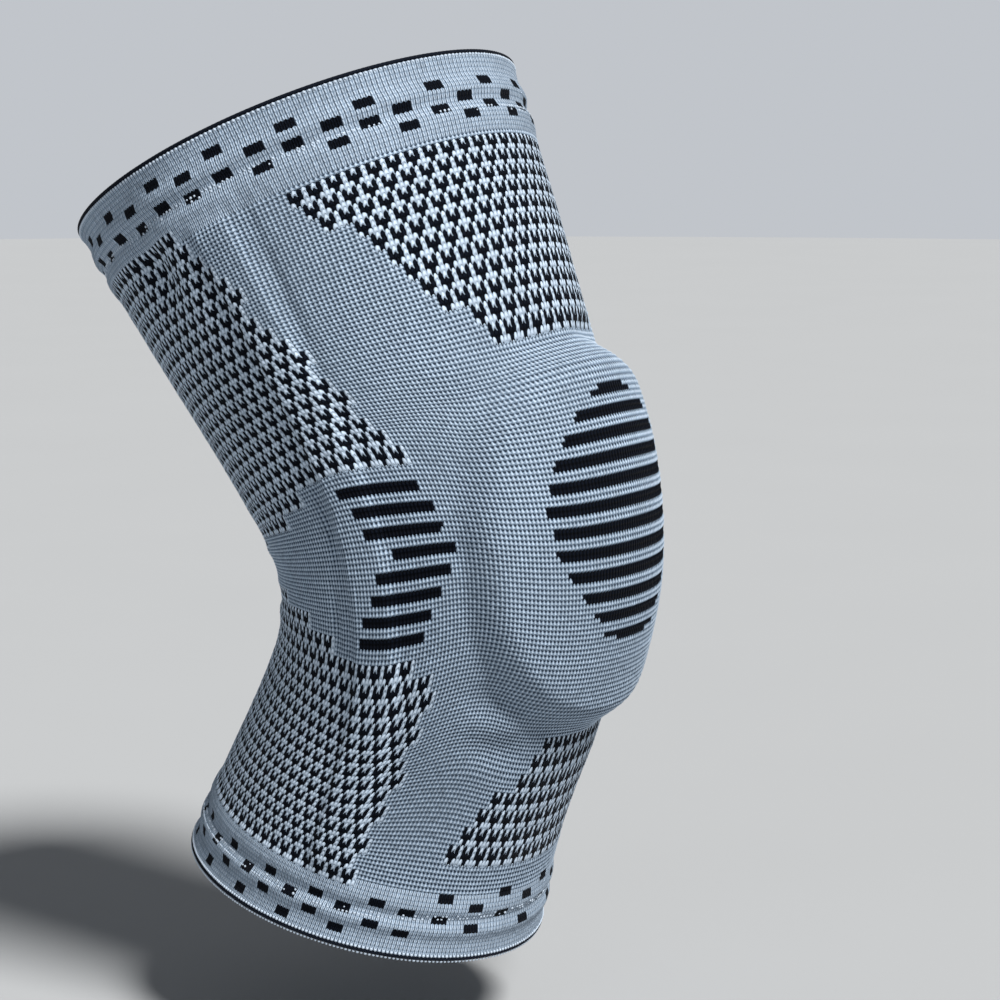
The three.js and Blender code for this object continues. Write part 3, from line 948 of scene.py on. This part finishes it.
# Painted shade in the holes between stitches: its least share, how much the patches add, and how dark it gets
HOLE_SHADE_SHARE = {"least": 0.5, "patch": 0.9}
HOLE_SHADE_STRENGTH = 0.95
# Painted highlight on the dark stitches' heads, and their fibre grain
DARK_HIGHLIGHT_AND_GRAIN = {"head": 1.2, "fibre": 0.9}
HEIGHTS = {"hole": 0.8, "fibre": 0.3, "dark": 0.5}
KNIT_ROUGHNESS = {"least": 0.66, "fibre": 0.2}


def knit_group():
    """Colour and shape of single stitches, from the uv map, whose whole numbers lie between stitches. The
    colour has painted highlight on the stitches' heads and painted shade in the holes between them.
    """
    group = new_group(
        "knit_stitches",
        [
            ("Yarn", "NodeSocketColor", (0.4, 0.5, 0.6, 1)),
            # painted highlight on the stitches' heads
            ("Light Yarn And Highlight", "NodeSocketColor", (0.8, 0.85, 0.9, 1)),
            # painted shade in the holes between stitches
            ("Gap", "NodeSocketColor", (0.03, 0.05, 0.08, 1)),
            ("Dark Yarn", "NodeSocketColor", (0.01, 0.01, 0.02, 1)),
        ],
        [("Colour", "NodeSocketColor"), ("Height", "NodeSocketFloat"), ("Roughness", "NodeSocketFloat")],
    )
    n = Nodes(group)
    given = n.add("NodeGroupInput").outputs
    uv = n.add("ShaderNodeUVMap", uv_map="stitches").outputs[0]
    across, along, _ = (n.value(each) for each in n.add("ShaderNodeSeparateXYZ", {0: uv}).outputs)
    patch = n.noise(n.object_place(), PATCH_SCALE, 3.0)
    across = across + (n.noise(uv, WOBBLE_SCALE) - 0.5) * WOBBLE
    rib, dark, check = (n.attribute(name) for name in ("rib", "dark_yarn", "check"))
    head, hole = plain_stitches(across, along)
    leg, groove = ribbed_stitches(across, along)
    dark_check, check_head, check_hole = check_stitches(across, along)
    head = head.toward(leg, rib).toward(check_head, check)
    hole = hole.toward(groove, rib).toward(check_hole, check)
    dark = dark.either(check * dark_check)
    fibre = n.noise(uv, FIBRE_SCALE)
    # painted shade in the holes between stitches, stronger in the darker patches
    shade_in_holes = (patch * HOLE_SHADE_SHARE["patch"] + HOLE_SHADE_SHARE["least"]).held() * hole
    tone = (patch - 0.5) * YARN_TONE["patch"] + n.attribute("uneven") * YARN_TONE["uneven"] + 1.0
    # painted highlight on the stitches' heads, and a lighter tone over the whole check
    light = (head * head * HIGHLIGHT_AND_CHECK_TONE["head"] + check * HIGHLIGHT_AND_CHECK_TONE["check"]).held()
    highlit_yarn = n.scaled(n.mix(light, given["Yarn"], given["Light Yarn And Highlight"]), tone)
    # grey yarn with the painted shade in its holes
    grey = n.mix((shade_in_holes * HOLE_SHADE_STRENGTH).held(), highlit_yarn, given["Gap"])
    # dark yarn with painted highlight on its heads and fibre grain
    navy = n.scaled(given["Dark Yarn"], head * head * DARK_HIGHLIGHT_AND_GRAIN["head"] + fibre * DARK_HIGHLIGHT_AND_GRAIN["fibre"])
    height = head - hole * HEIGHTS["hole"] + fibre * HEIGHTS["fibre"] - dark * HEIGHTS["dark"]
    rough = fibre * KNIT_ROUGHNESS["fibre"] + KNIT_ROUGHNESS["least"]
    n.add("NodeGroupOutput", {"Colour": n.mix(dark, grey, navy), "Height": height, "Roughness": rough})
    return group


def new_material(name):
    """Material with a plain Principled shader, and its tree and shader."""
    material = bpy.data.materials.new(name)
    material.use_nodes = True
    n = Nodes(material.node_tree)
    shader = next(node for node in n.tree.nodes if node.type == "BSDF_PRINCIPLED")
    return material, n, shader


def set_shader(shader, values):
    for key, value in values.items():
        shader.inputs[key].default_value = value


KNIT_BUMP = {"Distance": 0.00035, "Strength": 0.8}
KNIT_FINISH = {"Sheen Weight": 0.015, "Sheen Roughness": 0.4, "Specular IOR Level": 0.05}


def knit_material(colours, group):
    material, n, shader = new_material("knit")
    yarns = {
        "Yarn": full(colours.grey_yarn),
        # the light yarn colour also serves as the painted highlight on the stitches' heads
        "Light Yarn And Highlight": full(colours.light_yarn_and_highlight),
        # the gap colour is the painted shade in the holes between stitches
        "Gap": full(colours.painted_gap_shade),
        "Dark Yarn": full(colours.dark_yarn),
    }
    stitches = n.add("ShaderNodeGroup", yarns, node_tree=group).outputs
    bump = n.add("ShaderNodeBump", {"Height": stitches["Height"], **KNIT_BUMP})
    n.feed(shader.inputs["Base Color"], stitches["Colour"])
    n.feed(shader.inputs["Roughness"], stitches["Roughness"])
    n.feed(shader.inputs["Normal"], bump.outputs[0])
    set_shader(shader, KNIT_FINISH)
    return material


def tinted(colour, share):
    return full([share * value for value in colour])


def grained_material(name, tones, scale, finish, detail=2.0, stretch=(1, 1, 1), rough=None, bump=None):
    """Material with a grain between two tones and a finish of plain values. The grain may also change how
    rough it is, by a least value and a range, and raise it, by a distance and a strength."""
    material, n, shader = new_material(name)
    place = n.add("ShaderNodeMapping", {"Vector": n.object_place(), "Scale": stretch}).outputs[0]
    grain = n.noise(place, scale, detail)
    n.feed(shader.inputs["Base Color"], n.mix(grain, *tones))
    if rough:
        n.feed(shader.inputs["Roughness"], grain * rough[1] + rough[0])
    if bump:
        raised = n.add("ShaderNodeBump", {"Height": grain, "Distance": bump[0], "Strength": bump[1]})
        n.feed(shader.inputs["Normal"], raised.outputs[0])
    set_shader(shader, finish)
    return material


def edge_material(colours):
    tones = full(colours.dark_yarn), tinted(colours.dark_yarn, 2)
    finish = {"Roughness": 0.85, "Sheen Weight": 0.015, "Specular IOR Level": 0.1}
    return grained_material("dark_edge", tones, 900.0, finish, detail=3.0, bump=(0.0003, 0.6))


def thread_material(colours):
    tones = tinted(colours.light_yarn_and_highlight, 0.6), full(colours.light_yarn_and_highlight)
    return grained_material("hem_thread", tones, 1500.0, {"Roughness": 0.7, "Sheen Weight": 0.1})


def gel_material(colours):
    red, green, blue = colours.gel
    tones = full((0.82 * red, 0.92 * green, blue)), full(colours.gel)
    finish = {"Subsurface Weight": 0.3, "Subsurface Scale": 0.004, "Coat Weight": 0.2}
    return grained_material("gel", tones, 35.0, finish, rough=(0.22, 0.2))


def stay_material(colours):
    tones = tinted(colours.stay, 0.8), full(colours.stay)
    grain = {"detail": 3.0, "stretch": (400.0, 400.0, 30.0), "rough": (0.4, 0.25), "bump": (0.0001, 0.4)}
    return grained_material("stay_strip", tones, 1.0, {}, **grain)


def floor_material(colours):
    tones = tinted(colours.floor, 0.97), full(colours.floor)
    return grained_material("floor", tones, 6.0, {"Roughness": 0.85})


KNEE_FOOT = -13  # courses where the tube's three pieces meet
KNEE_TOP = 40


class SLEEVE_OT_knit(Operator):
    """Knits the tube and its two grip bands, stitch by stitch"""

    bl_idname = "knee_sleeve.knit"
    bl_label = "Knit the Sleeve"

    def execute(self, context):
        settings = context.scene.knee_sleeve
        knitter = Knitter(settings)
        material = knit_material(settings.colours, knit_group())
        foot_band, top_band = knitter.band_courses()
        lattice = knitter.lattice
        pieces = [
            ("calf_grip_band_knit", lattice.foot + 1, foot_band, "calf_grip_band", "band_knit"),
            ("calf_knit", foot_band, KNEE_FOOT, "knit_tube", "grey_knit"),
            ("knee_knit", KNEE_FOOT, KNEE_TOP, "knit_tube", "grey_knit"),
            ("thigh_knit", KNEE_TOP, top_band, "knit_tube", "grey_knit"),
            ("thigh_grip_band_knit", top_band, lattice.top - 1, "thigh_grip_band", "band_knit"),
        ]
        for name, first, last, node, slot in pieces:
            piece = add_piece(name, knitter.wall(name, first, last), material, slot, [node])
            length = float(lattice.side(last) - lattice.side(first))
        return {"FINISHED"}


BEAD_SIDES = 8
BEAD_RINGS = 5


def bead_tree():
    """Geometry nodes that set a squashed bead on each point, turned to the point's facing."""
    tree = bpy.data.node_groups.new("beads_on_points", "GeometryNodeTree")
    face = tree.interface
    face.new_socket("Geometry", in_out="INPUT", socket_type="NodeSocketGeometry")
    for label, default in (("Width", 0.001), ("Rise", 0.0005), ("Unevenness", 0.1)):
        face.new_socket(label, in_out="INPUT", socket_type="NodeSocketFloat").default_value = default
    face.new_socket("Seed", in_out="INPUT", socket_type="NodeSocketInt").default_value = 1
    face.new_socket("Material", in_out="INPUT", socket_type="NodeSocketMaterial")
    face.new_socket("Geometry", in_out="OUTPUT", socket_type="NodeSocketGeometry")
    n = Nodes(tree)
    given = n.add("NodeGroupInput").outputs
    ball = n.add("GeometryNodeMeshUVSphere", {"Segments": BEAD_SIDES, "Rings": BEAD_RINGS, "Radius": 0.5})
    shape = n.add("ShaderNodeCombineXYZ", {0: given["Width"], 1: given["Width"]})
    n.feed(shape.inputs[2], n.value(given["Rise"]) * 2.0)
    bead = n.add("GeometryNodeTransform", {"Geometry": ball.outputs["Mesh"], "Scale": shape.outputs[0]})
    facing = n.add("GeometryNodeInputNamedAttribute", {"Name": "facing"}, data_type="FLOAT_VECTOR")
    size = n.add("GeometryNodeInputNamedAttribute", {"Name": "size"}, data_type="FLOAT")
    turned = n.add("FunctionNodeAlignRotationToVector", {"Vector": facing.outputs["Attribute"]}, axis="Z")
    spread = n.value(given["Unevenness"])
    chance = n.add("FunctionNodeRandomValue", data_type="FLOAT")
    n.feed(chance.inputs[2], spread.opposite())
    n.feed(chance.inputs[3], spread + 1.0)
    n.feed(chance.inputs["Seed"], given["Seed"])
    scale = n.value(size.outputs["Attribute"]) * n.value(chance.outputs[1])
    on_points = {"Points": given["Geometry"], "Instance": bead.outputs[0], "Rotation": turned.outputs[0]}
    beads = n.add("GeometryNodeInstanceOnPoints", {**on_points, "Scale": scale})
    real = n.add("GeometryNodeRealizeInstances", {"Geometry": beads.outputs[0]})
    smooth = n.add("GeometryNodeSetShadeSmooth", {"Geometry": real.outputs[0]})
    finish = {"Geometry": smooth.outputs[0], "Material": given["Material"]}
    coloured = n.add("GeometryNodeSetMaterial", finish)
    n.add("NodeGroupOutput", {"Geometry": coloured.outputs[0]})
    return tree


def add_beads(name, slot, node, spots, values, sizes=None):
    """Piece of the beads that the tree sets on spots, which are rows of a point and its facing."""
    spots = np.concatenate(spots)
    sizes = np.ones(len(spots)) if sizes is None else sizes
    points = bpy.data.meshes.new(name + "_points")
    points.vertices.add(len(spots))
    points.vertices.foreach_set("co", spots[:, 0].astype(np.float32).ravel())
    for key, kind, field, data in (
        ("facing", "FLOAT_VECTOR", "vector", spots[:, 1]),
        ("size", "FLOAT", "value", sizes),
    ):
        attribute = points.attributes.new(key, kind, "POINT")
        attribute.data.foreach_set(field, np.asarray(data, np.float32).ravel())
    holder = bpy.data.objects.new(name, points)
    bpy.context.scene.collection.objects.link(holder)
    modifier = holder.modifiers.new("beads", "NODES")
    modifier.node_group = bpy.data.node_groups.get("beads_on_points") or bead_tree()
    for item in modifier.node_group.interface.items_tree:
        if item.in_out == "INPUT" and item.name in values:
            modifier[item.identifier] = values[item.name]
    shown = holder.evaluated_get(bpy.context.evaluated_depsgraph_get())
    mesh = bpy.data.meshes.new_from_object(shown)
    mesh.name = name
    bpy.data.objects.remove(holder)
    return add_piece(name, mesh, None, slot, [node])


FACING_STEP = 0.0005


def spots_on(place):
    """Points of a function of how far off the surface they are, each with its facing."""
    start, end = place(0.0).reshape(-1, 3), place(FACING_STEP).reshape(-1, 3)
    return np.stack([start, end - start], 1)


EDGE_SIDES = 14
EDGE_RIB = 0.00008
STITCH_RISE = 0.35  # of the small stitches, and where they lie, as shares of their width
STITCH_INSET = 0.3
TIP_REACH = 0.15
TIP_DEPTH = 0.15  # how deep in the lower edge its own row lies, as a share of the wall


class SLEEVE_OT_edges(Operator):
    """Rolls the dark edge of each mouth and sews its small light stitches"""

    bl_idname = "knee_sleeve.edges"
    bl_label = "Roll the Edges"

    def execute(self, context):
        settings = context.scene.knee_sleeve
        knit = settings.knit
        leg = Leg(settings)
        lattice = Lattice(leg, knit)
        dark, thread = edge_material(settings.colours), thread_material(settings.colours)
        around = np.arange(0, lattice.wales, 0.5)
        rib = EDGE_RIB * np.where(np.arange(len(around)) % 2, 1, -1) - knit.wall / 2
        half = knit.wall / 2 + knit.roll_proud
        size = knit.hem_stitch
        values = {"Width": size, "Rise": size * STITCH_RISE, "Seed": knit.seed, "Material": thread}
        for part, mouth, course, inwards in mouths(leg, lattice):
            name, node = part + "_edge", part + "_edge_roll"
            turn = lattice.spot(np.full(len(around), float(course)), around)[1]
            rows = []
            for i in range(EDGE_SIDES):
                angle = 2 * math.pi * i / EDGE_SIDES
                distance = np.full(len(turn), mouth + inwards * (1 - math.cos(angle)) / 2 * knit.roll)
                rows.append(leg.on_knit(distance, turn, rib + half * math.sin(angle) * inwards))
            points = np.array(rows).reshape(-1, 3)
            quads = grid_quads(EDGE_SIDES + 1, len(turn)) % len(points)
            add_piece(name, mesh_from(name, points, [quads[:, ::-1]]), dark, "dark_knit", [node])
            stitches = turn[1::2]
            beside = np.full(len(stitches), mouth + inwards * (knit.roll + size * STITCH_INSET))
            spots = [spots_on(lambda off: leg.on_knit(beside, stitches, off))]
            if part == "calf":
                tip = np.full(len(stitches), mouth - size * TIP_REACH)
                spots.append(spots_on(lambda off: leg.on_knit(tip, stitches, off - knit.wall * TIP_DEPTH)))
            add_beads(name + "_stitches", "band_knit", node, spots, values)
        return {"FINISHED"}


# A broken line of light thread in each grip band: its depth from the mouth in millimetres at each turn
# in degrees, and the rows it is laid in, with the share of stitches that show
THREAD_LINES = {
    "thigh": {"turn": [0, 21, 33, 58, 180], "depth": [20, 19.7, 18.9, 17.4, 17.4]},
    "calf": {"turn": [0, 21, 40, 56, 72, 180], "depth": [16.8, 16.6, 15.5, 13.9, 12.8, 12.4]},
}
THREAD_RISE = 0.3
THREAD_UNEVENNESS = 0.3
THREAD_ROWS = [{"further": 0.0, "shown": 0.7}, {"further": 1.3, "shown": 0.35}]


class SLEEVE_OT_threads(Operator):
    """Lays a broken line of light thread in each grip band"""

    bl_idname = "knee_sleeve.threads"
    bl_label = "Lay the Threads"

    def execute(self, context):
        settings = context.scene.knee_sleeve
        knit = settings.knit
        knitter = Knitter(settings)
        leg, lattice = knitter.leg, knitter.lattice
        random = np.random.default_rng(knit.seed)
        thread = thread_material(settings.colours)
        values = {"Width": knit.thread, "Rise": knit.thread * THREAD_RISE, "Unevenness": THREAD_UNEVENNESS}
        for part, mouth, course, inwards in mouths(leg, lattice):
            line = THREAD_LINES[part]
            end = np.full(lattice.wales, float(course))
            turns = lattice.spot(end, np.arange(lattice.wales) + 0.5)[1]
            spots = []
            for row in THREAD_ROWS:
                turn = turns[random.random(len(turns)) < row["shown"]]
                depth = np.interp(np.degrees(np.abs(turn)), line["turn"], line["depth"]) + row["further"]
                distance = mouth + inwards * depth * MM
                ripple = knitter.ripple(distance)
                spots.append(spots_on(lambda off: leg.on_knit(distance, turn, off + ripple)))
            node = part + "_grip_band"
            seeded = {**values, "Seed": knit.seed, "Material": thread}
            add_beads(node + "_thread", "band_knit", node, spots, seeded)
        return {"FINISHED"}


RING_STEPS = 160
DOT_ROWS = [
    {"across": 0.09, "dots": 38, "size": 0.72},
    {"across": 0.2, "dots": 36, "size": 0.78},
    {"across": 0.34, "dots": 34, "size": 0.86},
    {"across": 0.5, "dots": 34, "size": 0.92},
    {"across": 0.66, "dots": 34, "size": 1.0},
    {"across": 0.82, "dots": 34, "size": 1.0},
]
BARE_FROM = 0.6  # no dots on the outer rows in the middle of the ring's foot
BARE_TURN = math.radians(13)


class GelRing:
    """Places on the gel ring: a share of the way from its hole to its edge, an angle round it from its
    top, and a share of its thickness."""

    def __init__(self, settings):
        self.sizes = settings.ring
        self.leg = Leg(settings)

    def place(self, across, angle, lift, off=0.0):
        ring, leg = self.sizes, self.leg
        power = 2 / ring.roundness
        sine, cosine = np.sin(angle), np.cos(angle)
        oval_side = np.sign(sine) * np.abs(sine) ** power * ring.width / 2
        oval_up = np.sign(cosine) * np.abs(cosine) ** power * ring.height / 2
        point = ring.point * (1 + cosine) / 2
        hole_side = np.sign(sine) * np.abs(sine) ** (1 + point) * ring.hole_width / 2
        hole_up = cosine * ring.hole_height / 2
        turn = (hole_side + (oval_side - hole_side) * across) / leg.seat
        over = hole_up + (oval_up - hole_up) * across + ring.rise
        distance = leg.from_surface(over, turn)
        radius = leg.outline(distance, turn) - leg.wall + lift * ring.thickness + off
        return leg.place(distance, turn, radius)


class SLEEVE_OT_ring(Operator):
    """Casts the gel ring with its domed dots"""

    bl_idname = "knee_sleeve.ring"
    bl_label = "Cast the Gel Ring"

    def execute(self, context):
        settings = context.scene.knee_sleeve
        sizes = settings.ring
        ring = GelRing(settings)
        gel = gel_material(settings.colours)
        angle = -np.linspace(0, 2 * math.pi, RING_STEPS, endpoint=False)
        rows = [ring.place(row["across"], angle, row["lift"]) for row in RING_SECTION]
        points = np.array(rows).reshape(-1, 3)
        quads = grid_quads(len(rows) + 1, len(angle)) % len(points)
        mesh = mesh_from("gel_ring_pad", points, [quads])
        piece = add_piece("gel_ring_pad", mesh, gel, "gel", ["gel_ring"])
        outer = [row for row in RING_SECTION if row["lift"] > 0.5 and row["across"] > 0.05]
        across, lifts = [row["across"] for row in outer], [row["lift"] for row in outer]
        spots, dot_sizes = [], []
        for i, row in enumerate(DOT_ROWS):
            angle = (np.arange(row["dots"]) + 0.5 * (i % 2)) * 2 * math.pi / row["dots"]
            bare = (row["across"] > BARE_FROM) & (np.abs(angle - math.pi) < BARE_TURN)
            angle = angle[~bare]
            lift = np.interp(row["across"], across, lifts)
            spots.append(spots_on(lambda off: ring.place(row["across"], angle, lift, off)))
            spots.append(spots_on(lambda off: ring.place(row["across"], angle, 0.0, -off)))
            dot_sizes += [row["size"]] * (2 * len(angle))
        values = {"Width": sizes.dot, "Rise": sizes.dot_rise, "Seed": settings.knit.seed, "Material": gel}
        add_beads("gel_ring_dots", "gel", "gel_ring", spots, values, dot_sizes)
        return {"FINISHED"}


class SLEEVE_OT_stays(Operator):
    """Finishes the springy stay up each side"""

    bl_idname = "knee_sleeve.stays"
    bl_label = "Finish the Stays"

    def execute(self, context):
        material = stay_material(context.scene.knee_sleeve.colours)
        for name in ("stay_left", "stay_right"):
            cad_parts[name].material_slots[0].material = material
        return {"FINISHED"}


def direction_to(azimuth, elevation):
    """From the knee towards a place seen at an azimuth and an elevation."""
    flat = math.cos(elevation)
    return Vector((math.sin(azimuth) * flat, -math.cos(azimuth) * flat, math.sin(elevation)))


def point_at(thing, place, target):
    turn = (place - target).to_track_quat("Z", "Y").to_matrix().to_4x4()
    thing.matrix_world = Matrix.Translation(place) @ turn


# Suns: the azimuth and elevation they shine from and how far they spread, in degrees
LIGHTS = {
    "key_light": {"from": (-18, 53), "strength": 4.9, "spread": 16, "colour": (1.0, 0.99, 0.97)},
    "fill_light": {"from": (-85, 12), "strength": 0.35, "spread": 40, "colour": (0.86, 0.93, 1.0)},
}
SKY = {"colour": (0.86, 0.9, 0.96, 1), "light": 0.17, "more_to_camera": 0.45}
FLOOR_SIDES = 96
FLOOR_REACH = 5.0
SENSOR_WIDTH = 36.0  # in millimetres, as the focal length is
CLIP_START = 0.01


class SLEEVE_OT_stage(Operator):
    """Sets the floor, the camera and the lights"""

    bl_idname = "knee_sleeve.stage"
    bl_label = "Set the Stage"

    def execute(self, context):
        settings = context.scene.knee_sleeve
        stage = settings.stage
        scene = context.scene
        add_floor(scene, settings.colours, CAD_BOX[0][2] - stage.floor_gap)
        add_camera(scene, stage)
        for name, light in LIGHTS.items():
            add_sun(scene, name, light)
        world = bpy.data.worlds.new("studio")
        world.use_nodes = True
        n = Nodes(world.node_tree)
        background = n.tree.nodes["Background"]
        seen = n.value(n.add("ShaderNodeLightPath").outputs["Is Camera Ray"])
        background.inputs["Color"].default_value = SKY["colour"]
        n.feed(background.inputs["Strength"], seen * SKY["more_to_camera"] + SKY["light"])
        scene.world = world
        scene.view_settings.view_transform = "Standard"
        return {"FINISHED"}


def add_sun(scene, name, light):
    data = bpy.data.lights.new(name, "SUN")
    data.energy = light["strength"]
    data.angle = math.radians(light["spread"])
    data.color = light["colour"]
    lamp = bpy.data.objects.new(name, data)
    scene.collection.objects.link(lamp)
    point_at(lamp, direction_to(*map(math.radians, light["from"])), Vector((0, 0, 0)))


def add_floor(scene, colours, height):
    turns = np.linspace(0, 2 * math.pi, FLOOR_SIDES, endpoint=False)
    around = [FLOOR_REACH * np.cos(turns), FLOOR_REACH * np.sin(turns), np.full(FLOOR_SIDES, height)]
    mesh = mesh_from("floor", np.stack(around, -1), [np.arange(FLOOR_SIDES)[None, :]])
    mesh.materials.append(floor_material(colours))
    floor = bpy.data.objects.new("floor", mesh)
    scene.collection.objects.link(floor)


def add_camera(scene, stage):
    data = bpy.data.cameras.new("camera")
    data.lens = stage.lens
    data.sensor_width = SENSOR_WIDTH
    data.clip_start = CLIP_START
    camera = bpy.data.objects.new("camera", data)
    scene.collection.objects.link(camera)
    towards = direction_to(stage.azimuth, stage.elevation)
    right = Vector((math.cos(stage.azimuth), math.sin(stage.azimuth), 0))
    up = towards.cross(right)
    point_at(camera, towards * stage.distance, right * stage.aim_right + up * stage.aim_up)
    scene.camera = camera


STEPS = ("knit", "threads", "edges", "ring", "stays", "stage")


class SLEEVE_PT_panel(Panel):
    """Lists the steps that make the sleeve"""

    bl_idname = "SLEEVE_PT_panel"
    bl_label = "Knee Sleeve"
    bl_space_type = "VIEW_3D"
    bl_region_type = "UI"
    bl_category = "Knee Sleeve"

    def draw(self, context):
        for step in STEPS:
            self.layout.operator(f"knee_sleeve.{step}")
        settings = context.scene.knee_sleeve
        for part in settings.__annotations__:
            group = getattr(settings, part)
            box = self.layout.box()
            for key in group.__annotations__:
                box.prop(group, key)


CLASSES = (
    LegSizes,
    KnitSizes,
    RingSizes,
    StaySizes,
    Colours,
    StageSizes,
    SleeveSettings,
    SLEEVE_OT_knit,
    SLEEVE_OT_threads,
    SLEEVE_OT_edges,
    SLEEVE_OT_ring,
    SLEEVE_OT_stays,
    SLEEVE_OT_stage,
    SLEEVE_PT_panel,
)


def register():
    for each in CLASSES:
        bpy.utils.register_class(each)
    bpy.types.Scene.knee_sleeve = PointerProperty(type=SleeveSettings)


def unregister():
    del bpy.types.Scene.knee_sleeve
    for each in reversed(CLASSES):
        bpy.utils.unregister_class(each)


def main():
    register()
    for step in STEPS:
        getattr(bpy.ops.knee_sleeve, step)()


if __name__ == "__main__":
    main()
